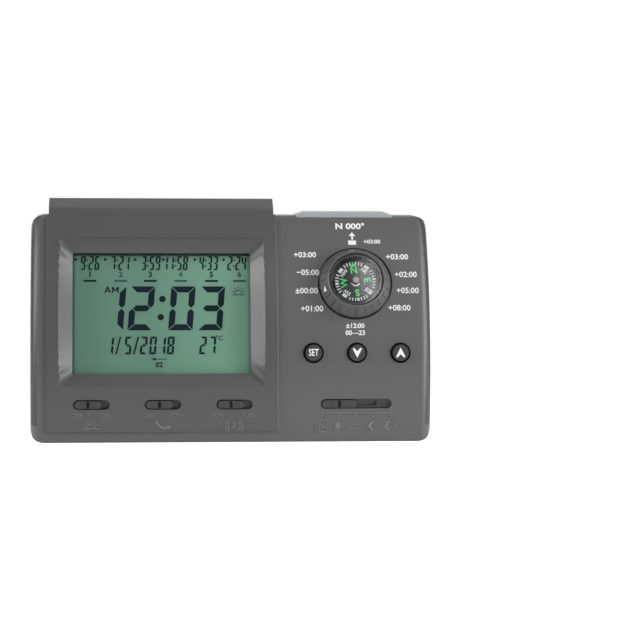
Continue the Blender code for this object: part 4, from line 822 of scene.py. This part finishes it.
def arc_bar(left, right, foot, top, out, steps):
    """Closed bar that follows the face's arc between two heights, from the beads' foot to a level out"""
    leans = np.linspace(face_lean(foot), face_lean(top), steps + 1)
    low, high = FACE_RADIUS - BEAD_FOOT, FACE_RADIUS + out
    corners = ((left, low), (right, low), (right, high), (left, high))
    points = [(across, FACE_AXIS_Y - reach * cos(lean), FACE_AXIS_Z + reach * sin(lean))
              for lean in leans for across, reach in corners]
    faces = [[0, 1, 2, 3], [4 * steps + corner for corner in (3, 2, 1, 0)]]
    for step in range(steps):
        for corner in range(4):
            first, second = 4 * step + corner, 4 * step + (corner + 1) % 4
            faces.append([second, first, first + 4, second + 4])
    return np.array(points), faces


def make_joint_beads():
    highlight_beads, foot_bead = Marks(), Marks()
    near, far = JOINT_SPARE, JOINT_WIDTH - JOINT_SPARE
    foot, top = JOINT_BOTTOM + JOINT_WIDTH, JOINT_TOP
    bars = ((JOINT_LEFT + near, JOINT_LEFT + far, foot, top, -0.05 * MM, 40),
            (JOINT_RIGHT + near, JOINT_RIGHT + far, foot, top, -0.02 * MM, 40))
    for bar in bars:
        highlight_beads.add(arc_bar(*bar))
    foot_bead.add(arc_bar(JOINT_LEFT + near, JOINT_RIGHT + far, JOINT_BOTTOM + near, JOINT_BOTTOM + far,
                          -0.05 * MM, 2))
    highlight_beads.finish("joint_highlight_beads", bead_highlight_satin, "casing", "casing_plastic")
    foot_bead.finish("foot_joint_bead", casing_satin, "casing", "casing_plastic")


make_joint_beads()


# Shield on the long slide's knob, behind its slot
SLIDE_HEIGHT = 14.6 * MM
MODE_KNOB_REST = 40.05 * MM


def make_slide_shield():
    """Two thin plates either side of the knob's stem, long enough to cover the slot at each stop"""
    plates = [((inner, -1.3), (outer, -1.3), (outer, 1.3), (inner, 1.3))
              for inner, outer in ((-14.2, -1.02), (1.02, 14.2))]
    points, faces = slabs([np.asarray(plate) * MM for plate in plates], -3.05 * MM, -2.75 * MM)
    new_piece("mode_slide_shield", on_plane(face_frame(MODE_KNOB_REST, SLIDE_HEIGHT))(points), faces,
              shield_matt, "mode_slide", "dark_plastic")


make_slide_shield()


# Dark strips across the middle of the slide knobs: painted shade for the knobs' notches
def make_knob_notches():
    for name in ("alarm_slide", "call_slide", "snooze_slide", "mode_slide"):
        low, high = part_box(name + "_knob")
        place = face_frame((low[0] + high[0]) / 2, SLIDE_HEIGHT)
        top = (place[1, 3] - low[1]) / -place[1, 2]
        strip = np.array(rectangle(0.55, 1.15)) * MM
        points, faces = slabs([strip], top - 0.06 * MM, top - 0.005 * MM)
        new_piece(name + "_notch", on_plane(place)(points), faces, notch_shade_black, name, "dark_plastic")


make_knob_notches()


# Moulded legends below the slides, lighter than the casing as a painted highlight on their edges
LEGEND_LOW, LEGEND_HIGH = -0.05 * MM, 0.18 * MM


def legend_icons():
    """Plain icons as outlines in millimetres about their own middles"""
    sun = [stroke(arc(1.5, 0, 180, 10, (0, -0.9)), 0.4), stroke(((-3.2, -1.15), (3.2, -1.15)), 0.4)]
    sun += [stroke([(reach * cos(a), -0.9 + reach * sin(a)) for reach in (2.1, 2.9)], 0.35)
            for a in np.radians((25, 60, 90, 120, 155))]
    handset = [stroke(arc(3.0, 200, 300, 10, (1.2, 2.0)), 0.7), disc(0.65, (-1.7, 1.1), 10),
               disc(0.65, (2.6, -0.7), 10)]
    crescent = [np.vstack((arc(1.9, 60, 300, 16), arc(1.55, 285, 75, 16, (0.75, 0))))]
    star = [stroke(((1.6, -0.2), (1.6, 1.4)), 0.35), stroke(((0.8, 0.6), (2.4, 0.6)), 0.35)]
    waves = [stroke(arc(3.2, 140, 220, 8, (0.9, 0)), 0.4), stroke(arc(4.1, 145, 215, 8, (0.9, 0)), 0.4),
             stroke(arc(3.2, -40, 40, 8, (-0.9, 0)), 0.4), stroke(arc(4.1, -35, 35, 8, (-0.9, 0)), 0.4)]
    bell = [np.array(((-1.5, -1.1), (1.5, -1.1), (1.0, -0.4), (0.8, 0.9), (0.0, 1.6), (-0.8, 0.9), (-1.0, -0.4))),
            disc(0.42, (0, -1.65), 8)]
    frame_square = [stroke(((-2.0, -2.1), (2.0, -2.1), (2.0, 2.1), (-2.0, 2.1)), 0.35, True)]
    return dict(sun=sun, handset=handset, crescent=crescent, star=star, waves=waves, bell=bell,
                square=frame_square)


def make_legends():
    icons = legend_icons()
    strap, face = Marks(), Marks()

    def raised(marks, outlines, across, height, out):
        marks.add(slabs([np.asarray(part) * MM for part in outlines], LEGEND_LOW, LEGEND_HIGH),
                  on_face(across * MM, height * MM, out))

    for left, right in ((-58.3, -47.6), (-32.0, -20.8), (-5.5, 6.1)):
        for words, across in (("OFF", left + 0.6), ("ON", right + 0.2)):
            strap.add(lettering(words, 2.5 * MM, LEGEND_LOW, LEGEND_HIGH, 0.02 * MM),
                      on_face(across * MM, 10.6 * MM, STRAP_PROUD))
    raised(strap, icons["sun"], -52.4, 7.0, STRAP_PROUD)
    raised(strap, icons["handset"], -26.3, 6.9, STRAP_PROUD)
    raised(strap, icons["waves"], 0.6, 6.6, STRAP_PROUD)
    strap.add(lettering("Z", 3.4 * MM, LEGEND_LOW, LEGEND_HIGH, 0.03 * MM),
              on_face(0.6 * MM, 6.6 * MM, STRAP_PROUD))
    face.add(lettering("N", 3.4 * MM, LEGEND_LOW, LEGEND_HIGH, 0.03 * MM), on_face(33.5 * MM, 6.15 * MM))
    raised(face, icons["square"], 33.5, 6.15, 0.0)
    raised(face, icons["bell"], 39.6, 6.4, 0.0)
    raised(face, icons["sun"], 46.0, 6.4, 0.0)
    raised(face, icons["crescent"], 53.0, 6.2, 0.0)
    raised(face, icons["crescent"], 59.0, 6.2, 0.0)
    raised(face, icons["star"], 59.6, 6.2, 0.0)
    leaders = []
    for tick, foot in ((33.5, 33.5), (40.0, 39.6), (46.4, 46.2), (52.6, 52.8), (59.2, 59.4)):
        leaders.append(stroke(((tick - 46.4, 1.0), (foot - 46.4, -0.9)), 0.3))
    leaders.append(stroke(((-12.9, 1.0), (12.8, 1.0)), 0.3))
    raised(face, leaders, 46.4, 10.3, 0.0)
    strap.finish("strap_legends", legend_highlight_satin, "casing", "casing_plastic")
    face.finish("mode_legends", legend_highlight_satin, "casing", "casing_plastic")


make_legends()


# White signs on the push buttons
def make_button_signs():
    top = 1.0 * MM
    chevron = ((-1.75, 1.55), (-1.2, 1.8), (0.0, 0.55), (1.2, 1.8), (1.75, 1.55), (0.0, -1.95))
    for name, sign in (("set", None), ("down", 0.0), ("up", pi)):
        put = on_plane(BUTTONS[name], (0, 0, top))
        marks = Marks()
        if sign is None:
            marks.add(lettering("SET", 3.6 * MM, PRINT_LOW, PRINT_HIGH, 0.06 * MM, "CENTER", 0.66), put)
        else:
            marks.add(slabs([moved(np.asarray(chevron), turn=sign) * MM], PRINT_LOW, PRINT_HIGH), put)
        marks.finish(name + "_sign", ink_white, name + "_button", "white_plastic")


make_button_signs()


# Compass card print and selector pointer
CARD_TURN = radians(7.5)


def make_compass_print():
    white, green = Marks(), Marks()
    put = on_plane(SELECTOR, (0, 0, CARD_TOP))
    outlines = []
    for step in range(40):
        degrees = step * 9
        if degrees % 90 in (36, 45, 54) or degrees == 0:
            continue
        half = 0.42 if degrees % 90 == 0 else 0.2
        tick = ((-half, 6.45), (half, 6.45), (half, 7.75), (-half, 7.75))
        outlines.append(moved(tick, turn=CARD_TURN - radians(degrees)))
    for degrees, words in ((45, "NE"), (135, "SE"), (225, "SW"), (315, "NW")):
        turn = CARD_TURN - radians(degrees)
        block = ((-0.95, 6.35), (0.95, 6.35), (0.95, 7.55), (-0.95, 7.55))
        outlines.append(moved(block, turn=turn))
        letters = shifted(lettering(words, 1.9 * MM, PRINT_LOW, PRINT_HIGH, 0.05 * MM), 0, 5.3 * MM)
        white.add(shifted(letters, turn=turn), put)
    # white arc round the jewel: a painted highlight drawn as print on the card
    outlines.append(stroke(arc(1.64, 200, 332, 14), 0.55))
    white.add(slabs([np.asarray(part) * MM for part in outlines], PRINT_LOW, PRINT_HIGH), put)
    for degrees, words in ((0, "N"), (90, "E"), (180, "S"), (270, "W")):
        letters = shifted(lettering(words, 3.6 * MM, PRINT_LOW, PRINT_HIGH, 0.10 * MM), 0, 4.35 * MM)
        green.add(shifted(letters, turn=CARD_TURN - radians(degrees)), put)
    arrow = moved(((-1.1, 5.75), (1.1, 5.75), (0.0, 7.6)), turn=CARD_TURN)
    green.add(slabs([arrow * MM], PRINT_LOW, PRINT_HIGH), put)
    white.finish("card_print_and_glint", ink_white, "compass_card", "white_plastic")
    green.finish("card_letters", ink_green, "compass_card", "white_plastic")
    for name, radius, low, high, material, slot in (("card_jewel_wall", 1.25, 0.68, 2.1, card_matt, "card_black"),
                                                    ("card_jewel", 1.20, 2.08, 2.15, jewel_grey, "bright_metal")):
        points, faces = slabs([disc(radius * MM, steps=28)], low * MM, high * MM)
        new_piece(name, put(points), faces, material, "compass_card", slot)


def make_pointer():
    """White triangle on the ring's cone, pointing up the face"""
    slope = atan((RING_BASE_RADIUS - RING_LIP_RADIUS) / RING_PROUD)
    angle = atan(-3.1 / -11.5) + pi
    middle = (RING_BASE_RADIUS + RING_LIP_RADIUS) / 2
    outline = np.array(((-1.05, -0.95), (1.05, -0.95), (0.0, 1.15))) * MM
    outline = moved(outline, turn=1.5 * pi - angle)
    points, faces = slabs([outline], PRINT_LOW, PRINT_HIGH)
    lean = Matrix.Rotation(angle, 4, "Z") @ Matrix.Translation((middle, 0, RING_PROUD / 2))
    lean = np.array(lean @ Matrix.Rotation(pi / 2 - slope, 4, "Y") @ Matrix.Rotation(pi / 2, 4, "Z"))
    local = points @ lean[:3, :3].T + lean[:3, 3]
    new_piece("selector_pointer", on_plane(SELECTOR)(local), faces, ink_white, "city_selector", "white_plastic")


make_compass_print()
make_pointer()


# Stage, lights and camera
def stage_material(name, grey, glow):
    """Pale floor: plain diffuse, with a glow for straight and see-through views, and a share for mirror views"""
    mirror_share = 0.95
    finish = Finish(name, (grey, grey, grey), 0.9)
    output = finish.tree.nodes["Material Output"]
    seen = finish.node("ShaderNodeLightPath", output="Is Camera Ray")
    node = seen.socket.node
    mirror = Field(finish, node.outputs["Is Glossy Ray"])
    clear = Field(finish, node.outputs["Is Transmission Ray"])
    light = finish.node("ShaderNodeEmission", None,
                        {"Color": (1, 1, 1, 1), "Strength": ((seen + clear).clamp() + mirror * mirror_share) * glow})
    both = finish.node("ShaderNodeAddShader", None, {0: Field(finish, finish.shader.outputs[0]), 1: light})
    finish.tree.links.new(both.socket, output.inputs["Surface"])
    return finish.material


def make_stage():
    mesh = bpy.data.meshes.new("floor")
    half = 4.0
    mesh.from_pydata([(-half, -half, 0), (half, -half, 0), (half, half, 0), (-half, half, 0)], [], [(0, 1, 2, 3)])
    mesh.materials.append(stage_material("pale_floor", 0.8, 0.85))
    floor = bpy.data.objects.new("floor", mesh)
    bpy.context.scene.collection.objects.link(floor)


def make_world():
    """White for straight and see-through views, white behind the clock for mirror views, dim otherwise"""
    dim, bright = 0.15, 1.2
    behind_edge, behind_gain = 0.55, 4.0
    world = bpy.data.worlds.new("studio")
    bpy.context.scene.world = world
    world.use_nodes = True
    tree = world.node_tree
    back = tree.nodes["Background"]
    back.inputs["Color"].default_value = (1, 1, 1, 1)

    def maths(operation, first, second, clamp=False):
        node = tree.nodes.new("ShaderNodeMath")
        node.operation, node.use_clamp = operation, clamp
        for socket, value in zip(node.inputs, (first, second)):
            if isinstance(value, float):
                socket.default_value = value
            else:
                tree.links.new(value, socket)
        return node.outputs[0]

    paths = tree.nodes.new("ShaderNodeLightPath").outputs
    direction = tree.nodes.new("ShaderNodeTexCoord").outputs["Generated"]
    parts = tree.nodes.new("ShaderNodeSeparateXYZ")
    tree.links.new(direction, parts.inputs[0])
    behind = maths("MULTIPLY", maths("SUBTRACT", parts.outputs["Y"], behind_edge), behind_gain, True)
    mirror = maths("MULTIPLY", paths["Is Glossy Ray"], behind)
    seen = maths("MAXIMUM", paths["Is Camera Ray"], paths["Is Transmission Ray"])
    white = maths("MAXIMUM", seen, mirror)
    strength = tree.nodes.new("ShaderNodeMapRange")
    strength.inputs["To Min"].default_value = dim
    strength.inputs["To Max"].default_value = bright
    tree.links.new(white, strength.inputs["Value"])
    tree.links.new(strength.outputs[0], back.inputs["Strength"])


MIDDLE_HEIGHT = 0.045


def make_softbox(name, around, up, distance, width, height, watts):
    """Rectangular lamp that faces the clock's middle from a bearing and a height angle"""
    lamp = bpy.data.lights.new(name, "AREA")
    lamp.shape = "RECTANGLE"
    lamp.size, lamp.size_y = width, height
    lamp.energy = watts
    box = bpy.data.objects.new(name, lamp)
    bpy.context.scene.collection.objects.link(box)
    reach = Vector((sin(around) * cos(up), -cos(around) * cos(up), sin(up))) * distance
    box.location = Vector((0, 0, MIDDLE_HEIGHT)) + reach
    box.rotation_euler = (-reach).to_track_quat("-Z", "Y").to_euler()


def make_camera():
    """Camera fitted to the photograph: turned and raised a little, far off, long lens"""
    turn, rise, roll = radians(5.06), radians(4.5), radians(0.36)
    distance, focal_pixels = 858.0 * MM, 2301.0
    target = Vector((32.58 * MM, -25.366 * MM, 46.05 * MM))
    ahead = Vector((sin(turn) * cos(rise), cos(turn) * cos(rise), -sin(rise)))
    level = Vector((cos(turn), -sin(turn), 0))
    upward = level.cross(ahead)
    right = level * cos(roll) + upward * sin(roll)
    top = upward * cos(roll) - level * sin(roll)
    data = bpy.data.cameras.new("camera")
    data.sensor_width = 36.0
    data.lens = data.sensor_width * focal_pixels / IMAGE_SIDE
    data.clip_start, data.clip_end = 0.01, 50.0
    camera = bpy.data.objects.new("camera", data)
    bpy.context.scene.collection.objects.link(camera)
    turned = Matrix((right, top, -ahead)).transposed().to_4x4()
    camera.matrix_world = Matrix.Translation(target - ahead * distance) @ turned
    bpy.context.scene.camera = camera


make_stage()
make_world()
# name, degrees round from the front towards the right, degrees up, distance, width, height, watts
SOFTBOXES = (
    ("left_light", -77, 22, 0.80, 0.29, 0.45, 4.9),
    ("right_light", 69, 20, 0.80, 0.32, 0.45, 5.0),
    ("low_right_light", 55, 0, 0.80, 0.30, 0.10, 1.5),
    ("window_light", 20.0, 35, 0.80, 0.155, 0.33, 0.85),
    ("top_back_light", 180, 62, 0.80, 0.70, 0.30, 0.60),
    ("over_light", 180, 88, 0.80, 0.60, 0.10, 0.5),
)
for name, around, up, distance, width, height, watts in SOFTBOXES:
    make_softbox(name, radians(around), radians(up), distance, width, height, watts)
make_camera()
bpy.context.scene.view_settings.view_transform = "Standard"
